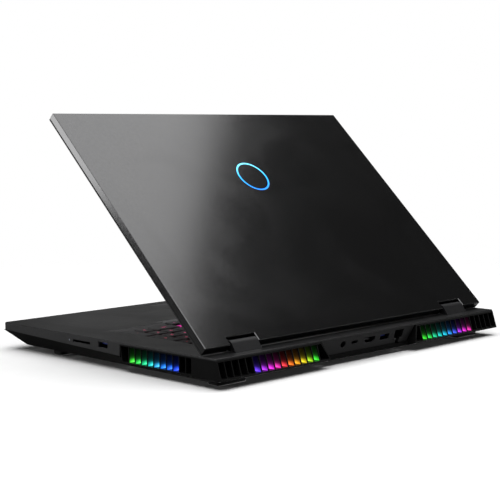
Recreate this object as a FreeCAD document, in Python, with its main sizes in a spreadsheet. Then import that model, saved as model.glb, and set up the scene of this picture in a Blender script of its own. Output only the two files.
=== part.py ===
import FreeCAD, Part
import os
import re

import Sketcher

# Driving dimensions in millimetres and degrees. X points to the user's right, Y to the back and
# Z up. The desk is Z = 0, and the middle of the footprint is X = Y = 0.
DIMENSIONS = {
    # case
    "width": 400.0, "deck": 26.0, "rear": 148.7, "reach": 303.2, "rear_lean": 5.8,
    "foot_lift": 4.5, "skin": 1.6, "corner_round": 4.0, "edge_break": 0.5,
    "band_front": 7.0, "band_rear": 12.2, "side_taper": 13.0, "front_taper": 22.0,
    # air vents at the rear corners
    "vent_drop": 18.2, "vent_wall": 12.0, "vent_side": 124.0, "vent_side_end": 30.0,
    "vent_inner_top": 69.3, "vent_inner_low": 61.9, "vent_rim": 1.3, "vent_sill": 16.8,
    "fin_pitch": 8.28, "fin_thick": 1.1, "fin_first": 191.2, "fin_side_first": 112.3,
    "fin_deep": 8.5, "light_deep": 2.6, "light_tall": 2.0,
    # port panel between the vents
    "panel_thick": 2.0, "panel_low": 16.5, "panel_back": 5.3, "insert_edge": -35.4,
    "jack_x": 36.0, "usb_c_x": 19.8, "hdmi_x": -2.3, "usb_rear_x": -24.3, "lan_x": -45.8,
    "port_axis": 8.3, "port_deep": 15.0, "jack_radius": 3.4, "plug_radius": 2.85, "jack_mouth": 9.0,
    "usb_wide": 13.2, "usb_tall": 5.8, "usb_wall": 0.5, "usb_c_wide": 9.0, "usb_c_tall": 3.3,
    "hdmi_wide": 15.0, "hdmi_tall": 5.8, "lan_wide": 12.6, "lan_tall": 9.4, "lan_clip": 5.2,
    # ports on the sides
    "usb_side_y": 147.5, "usb_side_axis": 4.9, "card_y": 179.0, "card_wide": 25.0,
    "card_tall": 3.0, "card_axis": 5.7, "lamp_y": 197.4, "audio_radius": 1.75,
    "audio_shell": 3.0, "audio_y": 172.0, "audio_gap": 12.0, "audio_deep": 14.0,
    # keyboard, in the sunken well of the top cover
    "well_half": 161.5, "well_front": 175.0, "well_back": 62.0, "well_deep": 3.0,
    "well_bevel": 8.0, "well_tip": 15.0, "arrow_left": 41.0, "arrow_right": 95.0,
    "arrow_front": 187.5, "arrow_bevel": 6.0, "arrow_tip": 4.6,
    "key_unit": 17.4, "key_gap": 2.2, "key_top": 0.5, "key_thick": 1.9, "key_slope": 0.9,
    "key_left": -160.2, "key_back": 63.2, "function_deep": 14.0, "row_pitch": 19.4,
    "arrow_pitch": 16.2, "pad_left": 95.2, "pad_unit": 16.3, "plate_top": 4.2,
    # touchpad and power button
    "pad_x0": -123.0, "pad_x1": 27.0, "pad_front": 291.0, "pad_back": 199.0, "pad_gap": 0.5,
    "pad_sunk": 0.2, "pad_thick": 1.0, "pad_axis": 3.6, "pivot_radius": 0.8,
    "button_radius": 6.5, "button_y": 42.0,
    # lid, measured from the hinge line
    "axis_y": 19.1, "axis_z": 4.5, "lid_angle": 44.2, "lid_width": 396.4, "lid_tail": 1.93,
    "lid_length": 284.0, "lid_outer": 4.8, "lid_inner": 3.8, "bezel_thick": 1.6,
    "lid_skin": 1.2, "lid_wall": 1.4, "lid_break": 0.6, "notch_in": 133.8, "notch_out": 168.1,
    "notch_deep": 6.6, "screen_half": 194.0, "screen_low": 29.5, "screen_high": 272.0,
    "screen_thick": 2.8, "ring_y": 191.4, "ring_radius": 19.0, "ring_wide": 1.6, "ring_deep": 0.7,
    "bumper_radius": 1.6, "bumper_tall": 0.4, "camera_y": 277.0, "seam_tall": 0.5, "seam_deep": 0.6,
    # hinges
    "pin_radius": 1.5, "knuckle_radius": 3.5, "bore_radius": 1.54, "cover_radius": 5.2,
    "cover_in": 135.0, "cover_out": 167.0, "knuckle_in": 140.0, "knuckle_out": 162.0,
    "arm_in": 169.8, "arm_out": 184.0, "arm_long": 42.0,
    # inside
    "board_top": 10.8, "board_thick": 1.2, "floor_in": 20.0, "floor_out": 21.5,
    "fan_x": 103.0, "fan_y": 74.0, "fan_half": 37.0, "fan_top": 7.4, "fan_low": 19.4,
    "fan_wall": 1.0, "fan_cavity": 34.5, "fan_inlet": 24.0, "rotor_radius": 32.0,
    "hub_radius": 11.0, "shaft_radius": 1.0, "bush_radius": 1.04, "blade_thick": 0.8,
    "stack_top": 5.2, "stack_low": 19.4, "pipe_radius": 2.4, "pipe_axis": 17.0,
    "screw_radius": 1.2, "screw_bore": 1.25, "head_radius": 2.4, "post_radius": 3.2,
}
FRONT = "(rear - reach)"
BLADES = 23
REAR_FINS = 15
SIDE_FINS = 10
LIT_REAR_FIRST = 4
LIT_SIDE_LAST = 8
SCREW_PLACES = (("175", "274"), ("178", "212"), ("179", "134"), ("57.5", "14"))

ALIAS = re.compile(r"\b(" + "|".join(DIMENSIONS) + r")\b")
PLANE_ROLES = {"xy": "XY_Plane", "xz": "XZ_Plane", "yz": "YZ_Plane"}
UNTURNED = FreeCAD.Rotation()
TURNS = {
    "x": FreeCAD.Rotation(FreeCAD.Vector(0, 1, 0), 90),
    "y": FreeCAD.Rotation(FreeCAD.Vector(1, 0, 0), -90),
    "z": UNTURNED,
}

doc = FreeCAD.newDocument("laptop")
nodes = []


# ---------------------------------------------------------------- building blocks
def fill_sheet():
    """Put each driving dimension into a cell that carries its name."""
    sheet = doc.addObject("Spreadsheet::Sheet", "dims")
    for row, (alias, value) in enumerate(DIMENSIONS.items(), start=1):
        sheet.set(f"A{row}", alias)
        sheet.set(f"B{row}", str(value))
        sheet.setAlias(f"B{row}", alias)
    doc.recompute()


def bind(item, path, formula):
    """Bind one property of an object to a formula over the sheet's names."""
    item.setExpression(path, ALIAS.sub(r"dims.\1", f"{formula}"))


def node(label, item):
    """Name a finished sub-part and put it on the list that is written out."""
    item.Label = label
    nodes.append(item)
    return item


def block(x, y, z):
    """A box between two formulas on each axis."""
    item = doc.addObject("Part::Box", "Block")
    for axis, side, (low, high) in (("x", "Length", x), ("y", "Width", y), ("z", "Height", z)):
        bind(item, f"Placement.Base.{axis}", low)
        bind(item, side, f"({high}) - ({low})")
    return item


def rod(axis, radius, centre, span):
    """A cylinder along an axis. The centre holds the two other coordinates in X, Y, Z order."""
    item = doc.addObject("Part::Cylinder", "Rod")
    item.Placement = FreeCAD.Placement(FreeCAD.Vector(), TURNS[axis])
    others = [name for name in "xyz" if name != axis]
    bind(item, f"Placement.Base.{axis}", span[0])
    bind(item, f"Placement.Base.{others[0]}", centre[0])
    bind(item, f"Placement.Base.{others[1]}", centre[1])
    bind(item, "Radius", radius)
    bind(item, "Height", f"({span[1]}) - ({span[0]})")
    return item


def wedge(x, y, z, upper_x, upper_y):
    """A block whose foot and top have outlines of their own, between two heights."""
    item = doc.addObject("Part::Wedge", "Wedge")
    item.Placement = FreeCAD.Placement(
        FreeCAD.Vector(), FreeCAD.Rotation(FreeCAD.Vector(1, 0, 0), 90)
    )
    bind(item, "Xmin", x[0])
    bind(item, "Xmax", x[1])
    bind(item, "X2min", upper_x[0])
    bind(item, "X2max", upper_x[1])
    bind(item, "Ymin", z[0])
    bind(item, "Ymax", z[1])
    bind(item, "Zmin", f"-({y[1]})")
    bind(item, "Zmax", f"-({y[0]})")
    bind(item, "Z2min", f"-({upper_y[1]})")
    bind(item, "Z2max", f"-({upper_y[0]})")
    return item


def frustum(x, y, z, inset_x, inset_y):
    """A block whose top is drawn in by an inset on each side."""
    return wedge(
        x, y, z, (f"{x[0]} + {inset_x}", f"{x[1]} - ({inset_x})"),
        (f"{y[0]} + {inset_y}", f"{y[1]} - ({inset_y})"),
    )


def cut(base, *tools):
    """The base without its tools."""
    item = doc.addObject("Part::Cut", "Cut")
    item.Base = base
    item.Tool = tools[0] if len(tools) == 1 else fuse(*tools)
    return item


def fuse(*items):
    """Several solids joined into one."""
    item = doc.addObject("Part::MultiFuse", "Fusion")
    item.Shapes = list(items)
    item.Refine = True
    return item


def common(first, second):
    """What two solids share."""
    item = doc.addObject("Part::Common", "Common")
    item.Base = first
    item.Tool = second
    return item


def group(*items):
    """Separate solids kept in one sub-part."""
    item = doc.addObject("Part::Compound", "Group")
    item.Links = list(items)
    return item


def mirrored(source):
    """The same piece for the other side of the case."""
    item = doc.addObject("Part::Mirroring", "Mirrored")
    item.Source = source
    item.Normal = FreeCAD.Vector(1, 0, 0)
    return item


def new_body():
    """An empty PartDesign body."""
    return doc.addObject("PartDesign::Body", "Body")


def outline(body, plane, points, offset):
    """A closed sketch whose corners are bound to formulas, on a plane shifted along its normal."""
    drawing = body.newObject("Sketcher::SketchObject", "Sketch")
    support = next(
        item for item in body.Origin.OriginFeatures if item.Role == PLANE_ROLES[plane]
    )
    drawing.AttachmentSupport = [(support, "")]
    drawing.MapMode = "FlatFace"
    bind(drawing, "AttachmentOffset.Base.z", offset)
    count = len(points)
    for index in range(count):
        start = FreeCAD.Vector(index, index * index, 0)
        drawing.addGeometry(Part.LineSegment(start, start + FreeCAD.Vector(1, 2, 0)), False)
    for index in range(count):
        following = (index + 1) % count
        drawing.addConstraint(Sketcher.Constraint("Coincident", index, 2, following, 1))
    for index, (across, along) in enumerate(points):
        for kind, formula in (("DistanceX", across), ("DistanceY", along)):
            place = drawing.addConstraint(Sketcher.Constraint(kind, -1, 1, index, 1, 1.0))
            bind(drawing, f"Constraints[{place}]", formula)
    return drawing


def plane_shift(plane, span, adding):
    """The sketch's offset along its normal, so that material lies between the span's ends."""
    low, high = span
    if plane == "xz":
        return f"-({high})" if adding else f"-({low})"
    return f"{low}" if adding else f"{high}"


def add_pad(body, plane, points, span):
    """Add material inside an outline, between two formulas along the plane's normal."""
    # The XZ plane's normal points along -Y, so its pad starts at the span's far end.
    drawing = outline(body, plane, points, plane_shift(plane, span, True))
    feature = body.newObject("PartDesign::Pad", "Pad")
    feature.Profile = drawing
    bind(feature, "Length", f"({span[1]}) - ({span[0]})")
    doc.recompute()
    return feature


def add_pocket(body, plane, points, span):
    """Remove the material inside an outline, between two formulas along the plane's normal."""
    before = body.Shape.Volume
    drawing = outline(body, plane, points, plane_shift(plane, span, False))
    feature = body.newObject("PartDesign::Pocket", "Pocket")
    feature.Profile = drawing
    bind(feature, "Length", f"({span[1]}) - ({span[0]})")
    doc.recompute()
    if body.Shape.Volume >= before:
        raise RuntimeError("a pocket removed nothing")
    return feature


def prism(plane, points, span):
    """A body made of one pad."""
    body = new_body()
    add_pad(body, plane, points, span)
    return body


def rectangle(x, y):
    """The corners of a rectangle between two formulas each way."""
    return [(x[0], y[0]), (x[1], y[0]), (x[1], y[1]), (x[0], y[1])]


def edge_names(feature, wanted):
    """The names of the edges whose end points all pass a test."""
    names = []
    for place, edge in enumerate(feature.Shape.Edges, start=1):
        if all(wanted(vertex.Point) for vertex in edge.Vertexes):
            names.append(f"Edge{place}")
    return names


def soften(body, kind, feature, names, prop, formula):
    """Round or bevel named edges of a body's last feature."""
    finish = body.newObject(f"PartDesign::{kind}", kind)
    finish.Base = (feature, names)
    bind(finish, prop, formula)
    doc.recompute()
    return finish


def below(formula):
    """A height given as a depth under the deck."""
    return f"(deck - ({formula}))"


def ahead(formula):
    """A place given as a distance in front of the rear top edge."""
    return f"(rear - ({formula}))"


# ---------------------------------------------------------------- case
def top_cover():
    """Deck plate, front and side bands, sunken keyboard well and every opening of the deck."""
    body = new_body()
    profile = [
        (FRONT, below("band_front")), (ahead("vent_side"), below("band_rear")),
        (ahead("vent_side"), below("skin")), ("rear", below("skin")),
        ("rear", "deck"), (FRONT, "deck"),
    ]
    plate = add_pad(body, "yz", profile, ("-width / 2", "width / 2"))
    front = DIMENSIONS["rear"] - DIMENSIONS["reach"]
    corners = [
        name for name in edge_names(plate, lambda point: abs(point.y - front) < 0.01)
        if abs(plate.Shape.getElement(name).tangentAt(0).z) > 0.9
    ]
    rounded = soften(body, "Fillet", plate, corners, "Radius", "corner_round")
    top_edges = edge_names(rounded, lambda point: abs(point.z - DIMENSIONS["deck"]) < 0.01)
    soften(body, "Chamfer", rounded, top_edges, "Size", "edge_break")
    inner = rectangle(
        ("skin - width / 2", "width / 2 - skin"), (f"{FRONT} + skin", ahead("vent_side - 1"))
    )
    add_pocket(body, "xy", inner, (below("band_rear + 1"), below("skin")))
    add_tub(body)
    add_deck_openings(body)
    posts = [post for place in SCREW_PLACES for post in screw_posts(*place)]
    shell = fuse(cut(body, well_bevels(), side_port_cutters()), *posts)
    return node("top_cover", cut(shell, *screw_bores("screw_bore", "post")))


def add_tub(body):
    """The thick rim around the keyboard opening, under the deck plate."""
    rim = [
        ("-well_half - 7", ahead("well_front + 15")), ("arrow_left - 8", ahead("well_front + 15")),
        ("arrow_left - 8", ahead("arrow_front + 8")), ("arrow_right + 8", ahead("arrow_front + 8")),
        ("arrow_right + 8", ahead("well_front + 15")), ("well_half + 7", ahead("well_front + 15")),
        ("well_half + 7", ahead("well_back - 6")), ("-well_half - 7", ahead("well_back - 6")),
    ]
    add_pad(body, "xy", rim, (below("plate_top"), below("skin")))
    opening = [
        ("-well_half", ahead("well_front")), ("arrow_left", ahead("well_front")),
        ("arrow_left", ahead("arrow_front")), ("arrow_right", ahead("arrow_front")),
        ("arrow_right", ahead("well_front")), ("well_half", ahead("well_front")),
        ("well_half", ahead("well_back")), ("-well_half", ahead("well_back")),
    ]
    add_pocket(body, "xy", opening, (below("plate_top + 1"), "deck + 1"))


def add_deck_openings(body):
    """Openings for the touchpad, the hinge brackets and the air slots behind the keyboard."""
    through = (below("skin + 1"), "deck + 1")
    pad = rectangle(
        ("pad_x0 - pad_gap", "pad_x1 + pad_gap"),
        (ahead("pad_front + pad_gap"), ahead("pad_back - pad_gap")),
    )
    add_pocket(body, "xy", pad, through)
    for side in (1, -1):
        ends = sorted((139 * side, 163 * side))
        slot = rectangle(ends, (ahead("axis_y + 3.4"), ahead("axis_y - 3.4")))
        add_pocket(body, "xy", slot, through)
        first = rectangle(sorted((34 * side, 36 * side)), (ahead("54"), ahead("36")))
        slots = add_pocket(body, "xy", first, through)
        row = body.newObject("PartDesign::LinearPattern", "SlotRow")
        row.Originals = [slots]
        row.Direction = (slots.Profile[0], ["H_Axis"])
        row.Reversed = side < 0
        row.Length = 80
        row.Occurrences = 17
        body.Tip = row
        doc.recompute()


def well_bevels():
    """The sloping facets in front of the keys, and the hole of the power button."""
    main = doc.addObject("Part::Wedge", "WellBevel")
    bind(main, "Xmin", "-well_half - well_tip")
    bind(main, "Xmax", "well_half + well_tip")
    bind(main, "X2min", "-well_half")
    bind(main, "X2max", "well_half")
    arrows = doc.addObject("Part::Wedge", "ArrowBevel")
    bind(arrows, "Xmin", "arrow_left - arrow_tip")
    bind(arrows, "Xmax", "arrow_right + arrow_tip")
    bind(arrows, "X2min", "arrow_left")
    bind(arrows, "X2max", "arrow_right")
    fronts = ((main, "well_front", "well_bevel"), (arrows, "arrow_front", "arrow_bevel"))
    for item, place, run in fronts:
        bind(item, "Ymin", ahead(f"{place} + {run}"))
        bind(item, "Ymax", ahead(f"{place} - 0.01"))
        bind(item, "Zmin", "deck - 0.01")
        bind(item, "Zmax", "deck + 1")
        bind(item, "Z2min", below("well_deep"))
        bind(item, "Z2max", "deck + 1")
    hole = rod("z", "button_radius + 0.3", ("0", ahead("button_y")), (below("5"), "deck + 1"))
    return fuse(main, arrows, hole)


def side_port_cutters():
    """Holes through the side bands for the ports."""
    usb_y = (ahead("usb_side_y + usb_wide / 2 + 0.1"), ahead("usb_side_y - usb_wide / 2 - 0.1"))
    usb_z = (
        below("usb_side_axis + usb_tall / 2 + 0.1"), below("usb_side_axis - usb_tall / 2 - 0.1")
    )
    through = ("width / 2 - 4", "width / 2 + 1")
    left = ("-width / 2 - 1", "4 - width / 2")
    card_y = (ahead("card_y + card_wide / 2 + 0.1"), ahead("card_y - card_wide / 2 - 0.1"))
    card_z = (below("card_axis + card_tall / 2 + 0.1"), below("card_axis - card_tall / 2 - 0.1"))
    jacks = [
        rod("x", "audio_shell + 0.1", (ahead(place), below("card_axis")), left)
        for place in ("audio_y", "audio_y + audio_gap")
    ]
    return fuse(
        block(through, usb_y, usb_z), block(left, usb_y, usb_z), block(through, card_y, card_z),
        rod("x", "0.9", (ahead("lamp_y"), below("card_axis")), through),
        block(left, (ahead("204"), ahead("197")), (below("card_axis + 1.5"), below("4.2"))),
        *jacks,
    )


def screw_posts(across, depth):
    """A pair of threaded posts under the deck plate."""
    return [
        rod("z", "post_radius", (f"{side} * {across}", ahead(depth)),
            (below("floor_in - 0.2"), below("skin - 0.2")))
        for side in (1, -1)
    ]


def screw_bores(radius, kind):
    """Holes for every case screw: in the posts, or right through the bottom cover."""
    bores = []
    for across, depth in SCREW_PLACES:
        for side in (1, -1):
            centre = (f"{side} * {across}", ahead(depth))
            if kind == "post":
                bores.append(rod("z", radius, centre, (below("floor_out + 1"), below("9.5"))))
            else:
                bores.append(rod("z", radius, centre, (below("floor_out + 1"), below("17"))))
                head = (below("floor_out + 1"), below("floor_out - 1"))
                bores.append(rod("z", "head_radius + 0.2", centre, head))
    return bores


def bottom_cover():
    """The black pan: tapered sides and nose, air intakes, and a step under the port panel."""
    profile = [
        (f"{FRONT} + 0.4", below("band_front + 0.1")),
        (f"{FRONT} + front_taper", below("floor_out")), (ahead("6"), below("floor_out")),
        ("rear + rear_lean - 0.5", below("vent_drop + 0.1")),
        (ahead("vent_side - 3"), below("vent_drop + 0.1")),
        (ahead("vent_side"), below("band_rear + 0.1")),
    ]
    side_view = prism("yz", profile, ("-width / 2", "width / 2"))
    end_view = new_body()
    loft_section(end_view, FRONT, "band_front", "side_taper")
    fall = "(band_rear - band_front) * (reach + rear_lean) / (reach - vent_side)"
    taper = f"side_taper * (1 - ({fall}) / (floor_out - band_front))"
    loft_section(end_view, "rear + rear_lean", f"band_front + {fall}", taper)
    sketches = [item for item in end_view.Group if item.TypeId == "Sketcher::SketchObject"]
    loft = end_view.newObject("PartDesign::AdditiveLoft", "Taper")
    loft.Profile = sketches[0]
    loft.Sections = [(sketches[1], [""])]
    loft.Ruled = True
    doc.recompute()
    hollow = wedge(
        ("side_taper + 2.5 - width / 2", "width / 2 - side_taper - 2.5"),
        (f"{FRONT} + front_taper + 2", ahead("9.5")), (below("floor_in"), below("5")),
        ("3.5 - width / 2", "width / 2 - 3.5"), (f"{FRONT} + 3.5", ahead("3")),
    )
    step = block(
        ("-vent_inner_low - 0.2", "vent_inner_low + 0.2"), (ahead("3"), "rear + 12"),
        (below("floor_out + 1"), "deck"),
    )
    pan = cut(common(side_view, end_view), hollow, step)
    lip = prism(
        "yz",
        [(ahead("9"), below("floor_in")), (ahead("3.2"), below("floor_in")),
         (ahead("panel_back - 1"), below("panel_low + 0.1")),
         (ahead("9"), below("panel_low + 0.1"))],
        ("0.5 - vent_inner_low", "vent_inner_low - 0.5"),
    )
    notch = block(
        ("lan_x - lan_clip / 2", "lan_x + lan_clip / 2"), (ahead("12"), "rear"),
        (below("panel_low + 0.8"), below("panel_low - 1")),
    )
    tools = [notch, intake_slots(1), intake_slots(-1), speaker_slots(1), speaker_slots(-1)]
    tools += screw_bores("screw_bore + 0.1", "pan")
    return node("bottom_cover", cut(fuse(pan, lip), *tools))


def loft_section(body, place, drop, taper):
    """One cross-section of the pan: upright at the top, drawn in towards the desk."""
    half = "width / 2"
    low = f"({half} - ({taper}))"
    points = [
        (f"-{half}", below("4")), (f"-{half}", below(drop)), (f"-{low}", below("floor_out")),
        (low, below("floor_out")), (half, below(drop)), (half, below("4")),
    ]
    outline(body, "xz", points, f"-({place})")


def intake_slots(side):
    """Air slots under one fan."""
    bars = []
    for step in range(9):
        place = f"fan_y + 24 - {step} * 6"
        bars.append(
            block((f"{side} * fan_x - 26", f"{side} * fan_x + 26"),
                  (ahead(f"{place} + 1.5"), ahead(f"{place} - 1.5")),
                  (below("floor_out + 1"), below("floor_in - 1")))
        )
    return fuse(*bars)


def speaker_slots(side):
    """Sound slots under one speaker."""
    bars = [
        block((f"{side} * 148 - 18", f"{side} * 148 + 18"),
              (ahead(f"{place} + 0.8"), ahead(f"{place} - 0.8")),
              (below("floor_out + 1"), below("floor_in - 1")))
        for place in (238, 243, 248, 253)
    ]
    return fuse(*bars)


def port_panel():
    """The leaning plate between the vents, and its separate insert round the network port."""
    face = prism(
        "xz",
        [("-vent_inner_top + 1", below("skin")), ("-vent_inner_low + 0.2", below("panel_low")),
         ("vent_inner_low - 0.2", below("panel_low")), ("vent_inner_top - 1", below("skin"))],
        (ahead("20"), "rear + 5"),
    )
    lean = prism(
        "yz",
        [(ahead("0.5"), below("skin")), (ahead("panel_back"), below("panel_low")),
         (ahead("panel_back + panel_thick"), below("panel_low")),
         (ahead("panel_thick + 0.5"), below("skin"))],
        ("-vent_inner_top", "vent_inner_top"),
    )
    through = (ahead("12"), "rear + 5")
    openings = [
        rod("y", "jack_radius + 0.1", ("jack_x", below("port_axis")), through),
        prism("xz", capsule("usb_c_x", "port_axis - 0.4", "usb_c_wide", "usb_c_tall", "0.1"), through),
        prism("xz", video_outline("0.1"), through),
        prism("xz", plain_outline("usb_rear_x", "port_axis", "usb_wide", "usb_tall", "0.1"), through),
        prism("xz", plain_outline("lan_x", "port_axis", "lan_wide", "lan_tall", "0.1"), through),
        block(("lan_x - lan_clip / 2", "lan_x + lan_clip / 2"), through,
              (below("panel_low + 1"), below("port_axis + 4"))),
    ]
    plate = cut(common(face, lean), fuse(*openings))
    across = (ahead("20"), "rear + 5")
    upright = (below("panel_low + 2"), "deck")
    beyond = block(("insert_edge", "vent_inner_top + 5"), across, upright)
    insert = block(("-vent_inner_top - 5", "insert_edge - 0.1"), across, upright)
    node("port_panel", common(plate, beyond))
    node("network_insert", common(plate, insert))


def plain_outline(x, axis, wide, tall, gap):
    """A rectangular port opening."""
    return rectangle(
        (f"{x} - {wide} / 2 - {gap}", f"{x} + {wide} / 2 + {gap}"),
        (below(f"{axis} + {tall} / 2 + {gap}"), below(f"{axis} - {tall} / 2 - {gap}")),
    )


def capsule(x, axis, wide, tall, gap):
    """A port opening whose four corners are cut off, so that its ends look round."""
    left = f"{x} - {wide} / 2 - {gap}"
    right = f"{x} + {wide} / 2 + {gap}"
    low = below(f"{axis} + {tall} / 2 + {gap}")
    high = below(f"{axis} - {tall} / 2 - {gap}")
    corner = f"{tall} * 0.3"
    return [
        (f"{left} + {corner}", low), (f"{right} - {corner}", low), (right, f"{low} + {corner}"),
        (right, f"{high} - {corner}"), (f"{right} - {corner}", high),
        (f"{left} + {corner}", high), (left, f"{high} - {corner}"), (left, f"{low} + {corner}"),
    ]


def video_outline(gap):
    """The video port's opening: a rectangle with its two lower corners cut off."""
    left = f"hdmi_x - hdmi_wide / 2 - {gap}"
    right = f"hdmi_x + hdmi_wide / 2 + {gap}"
    low = below(f"port_axis + hdmi_tall / 2 + {gap}")
    high = below(f"port_axis - hdmi_tall / 2 - {gap}")
    return [
        (f"{left} + 2", low), (f"{right} - 2", low), (right, f"{low} + 2.4"),
        (right, high), (left, high), (left, f"{low} + 2.4"),
    ]


def vent_grille():
    """One corner vent: a frame round two windows, with thin upright fins across them."""
    lean_top = "(rear + rear_lean * skin / vent_drop)"
    rear_arm = common(
        prism(
            "yz",
            [(ahead("vent_wall"), below("skin")), (lean_top, below("skin")),
             ("rear + rear_lean", below("vent_drop")), (ahead("vent_wall"), below("vent_drop"))],
            ("vent_inner_low", "width / 2"),
        ),
        prism(
            "xz",
            [("vent_inner_top", below("skin")), ("vent_inner_low", below("vent_drop")),
             ("width / 2", below("vent_drop")), ("width / 2", below("skin"))],
            (ahead("vent_wall + 1"), "rear + 10"),
        ),
    )
    side_arm = prism(
        "yz",
        [(ahead("vent_side"), below("skin")), (ahead("vent_side - 3"), below("vent_drop")),
         (ahead("2"), below("vent_drop")), (ahead("2"), below("skin"))],
        ("width / 2 - vent_wall", "width / 2"),
    )
    rear_window = prism(
        "xz",
        [("vent_inner_top + vent_rim", below("skin + vent_rim")),
         ("vent_inner_low + vent_rim + 0.4", below("vent_sill")),
         ("width / 2 - vent_rim", below("vent_sill")),
         ("width / 2 - vent_rim", below("skin + vent_rim"))],
        (ahead("vent_wall + 1"), "rear + 10"),
    )
    corner_wall = block(
        ("width / 2 - vent_rim - 0.01", "width / 2"), (ahead("vent_wall"), "rear"),
        (below("vent_drop"), below("skin")),
    )
    side_window = prism(
        "yz",
        [(ahead("vent_side - vent_rim"), below("skin + vent_rim")),
         (ahead("vent_side - vent_rim - 2.6"), below("vent_sill")),
         (ahead("vent_side_end"), below("vent_sill")),
         (ahead("vent_side_end"), below("skin + vent_rim"))],
        ("width / 2 - vent_wall - 1", "width / 2 + 1"),
    )
    frame = cut(fuse(rear_arm, side_arm), rear_window, side_window)
    fins = [rear_fin(index) for index in range(REAR_FINS)]
    fins += [side_fin(index) for index in range(SIDE_FINS)]
    return fuse(frame, corner_wall, *fins)


def rear_fin(index):
    """One upright fin of the rear window, its outer edge parallel to the leaning face."""
    centre = f"fin_first - {index} * fin_pitch"
    low = below("vent_sill + 0.1")
    high = below("skin + vent_rim - 0.1")
    reach_low = "rear + rear_lean * vent_sill / vent_drop - 0.7"
    reach_high = "rear + rear_lean * (skin + vent_rim) / vent_drop - 0.7"
    points = [
        (ahead("fin_deep"), low), (reach_low, low), (reach_high, high), (ahead("fin_deep"), high),
    ]
    return prism("yz", points, (f"{centre} - fin_thick / 2", f"{centre} + fin_thick / 2"))


def side_fin(index):
    """One upright fin of the side window."""
    centre = f"fin_side_first - {index} * fin_pitch"
    return block(
        ("width / 2 - fin_deep", "width / 2 - 0.7"),
        (ahead(f"{centre} + fin_thick / 2"), ahead(f"{centre} - fin_thick / 2")),
        (below("vent_sill + 0.1"), below("skin + vent_rim - 0.1")),
    )


def vent_light():
    """The two light bars at the foot of one vent's windows, behind the lit slots."""
    tall = (below("vent_sill"), below("vent_sill - light_tall"))
    last = f"{REAR_FINS - 1} * fin_pitch"
    rear_bar = block(
        (f"fin_first - {last}", f"fin_first - {LIT_REAR_FIRST} * fin_pitch"),
        (ahead("fin_deep + 0.2 + light_deep"), ahead("fin_deep + 0.2")), tall,
    )
    side_bar = block(
        ("width / 2 - fin_deep - 0.2 - light_deep", "width / 2 - fin_deep - 0.2"),
        (ahead("fin_side_first"), ahead(f"fin_side_first - {LIT_SIDE_LAST} * fin_pitch")), tall,
    )
    return group(rear_bar, side_bar)


def vents():
    """Both corner vents with their lights: the left ones mirror the right ones."""
    grille = node("vent_grille_right", vent_grille())
    light = node("vent_light_right", vent_light())
    node("vent_grille_left", mirrored(grille))
    node("vent_light_left", mirrored(light))


# ---------------------------------------------------------------- ports
def port_shell(plane, outer, inner, tongue, span, back_at_high):
    """A hollow metal port: an outer outline, its hollow, a back wall and a contact tongue."""
    low, high = span
    hollow = (f"{low} - 1", f"{high} - 1") if back_at_high else (f"{low} + 1", f"{high} + 1")
    tongue_span = (f"{low} + 3", high) if back_at_high else (low, f"{high} - 3")
    shell = cut(prism(plane, outer, span), prism(plane, inner, hollow))
    return fuse(shell, prism(plane, tongue, tongue_span))


def rear_ports():
    """The connectors behind the port panel."""
    span = (ahead("port_deep + 3"), ahead("3.6"))
    centre = ("jack_x", below("port_axis"))
    mouth = rod("y", "jack_radius", centre, (ahead("jack_mouth + 0.5"), ahead("3.6")))
    housing = block(("jack_x - 3.9", "jack_x + 3.9"), (span[0], ahead("jack_mouth - 1")),
                    (below("port_axis + 3.9"), below("port_axis - 3.9")))
    chamber = block(("jack_x - 3.2", "jack_x + 3.2"),
                    (ahead("port_deep + 2"), ahead("jack_mouth")),
                    (below("port_axis + 3.2"), below("port_axis - 3.2")))
    barrel = cut(fuse(mouth, housing), chamber,
                 rod("y", "plug_radius", centre, (ahead("jack_mouth + 0.2"), "rear")))
    pin = rod("y", "1.0", centre, (span[0], ahead("jack_mouth + 2")))
    node("dc_jack", fuse(barrel, pin))
    axis = "port_axis - 0.4"
    node("usb_c_port", port_shell(
        "xz", capsule("usb_c_x", axis, "usb_c_wide", "usb_c_tall", "0"),
        capsule("usb_c_x", axis, "usb_c_wide", "usb_c_tall", "-0.35"),
        plain_outline("usb_c_x", axis, "6.6", "0.7", "0"), (ahead("12"), ahead("3.0")), False))
    node("hdmi_port", port_shell(
        "xz", video_outline("0"), video_outline("-0.5"),
        plain_outline("hdmi_x", "port_axis - 0.3", "10.4", "1.2", "0"),
        (ahead("16"), ahead("3.6")), False))
    node("usb_a_port_rear", port_shell(
        "xz", plain_outline("usb_rear_x", "port_axis", "usb_wide", "usb_tall", "0"),
        plain_outline("usb_rear_x", "port_axis", "usb_wide", "usb_tall", "-usb_wall"),
        plain_outline("usb_rear_x", "port_axis - 1.1", "11.1", "1.9", "0"), span, False))
    socket = cut(
        prism("xz", plain_outline("lan_x", "port_axis", "lan_wide", "lan_tall", "0"), span),
        prism("xz", plain_outline("lan_x", "port_axis - 0.4", "11.7", "7.4", "0"),
              (ahead("port_deep + 2"), "rear")),
        block(("lan_x - lan_clip / 2", "lan_x + lan_clip / 2"), (ahead("12"), "rear"),
              (below("port_axis + 6"), below("port_axis"))),
    )
    contacts = [
        block((f"lan_x - 3.9 + {pin_index} * 1.02", f"lan_x - 3.5 + {pin_index} * 1.02"),
              (ahead("port_deep + 2.2"), ahead("9")),
              (below("port_axis - 2.9"), below("port_axis - 3.4")))
        for pin_index in range(8)
    ]
    node("ethernet_port", fuse(socket, *contacts))


def side_outline(y, axis, wide, tall, gap):
    """A rectangular outline on a side wall."""
    return rectangle(
        (ahead(f"{y} + {wide} / 2 + {gap}"), ahead(f"{y} - {wide} / 2 - {gap}")),
        (below(f"{axis} + {tall} / 2 + {gap}"), below(f"{axis} - {tall} / 2 - {gap}")),
    )


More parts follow.
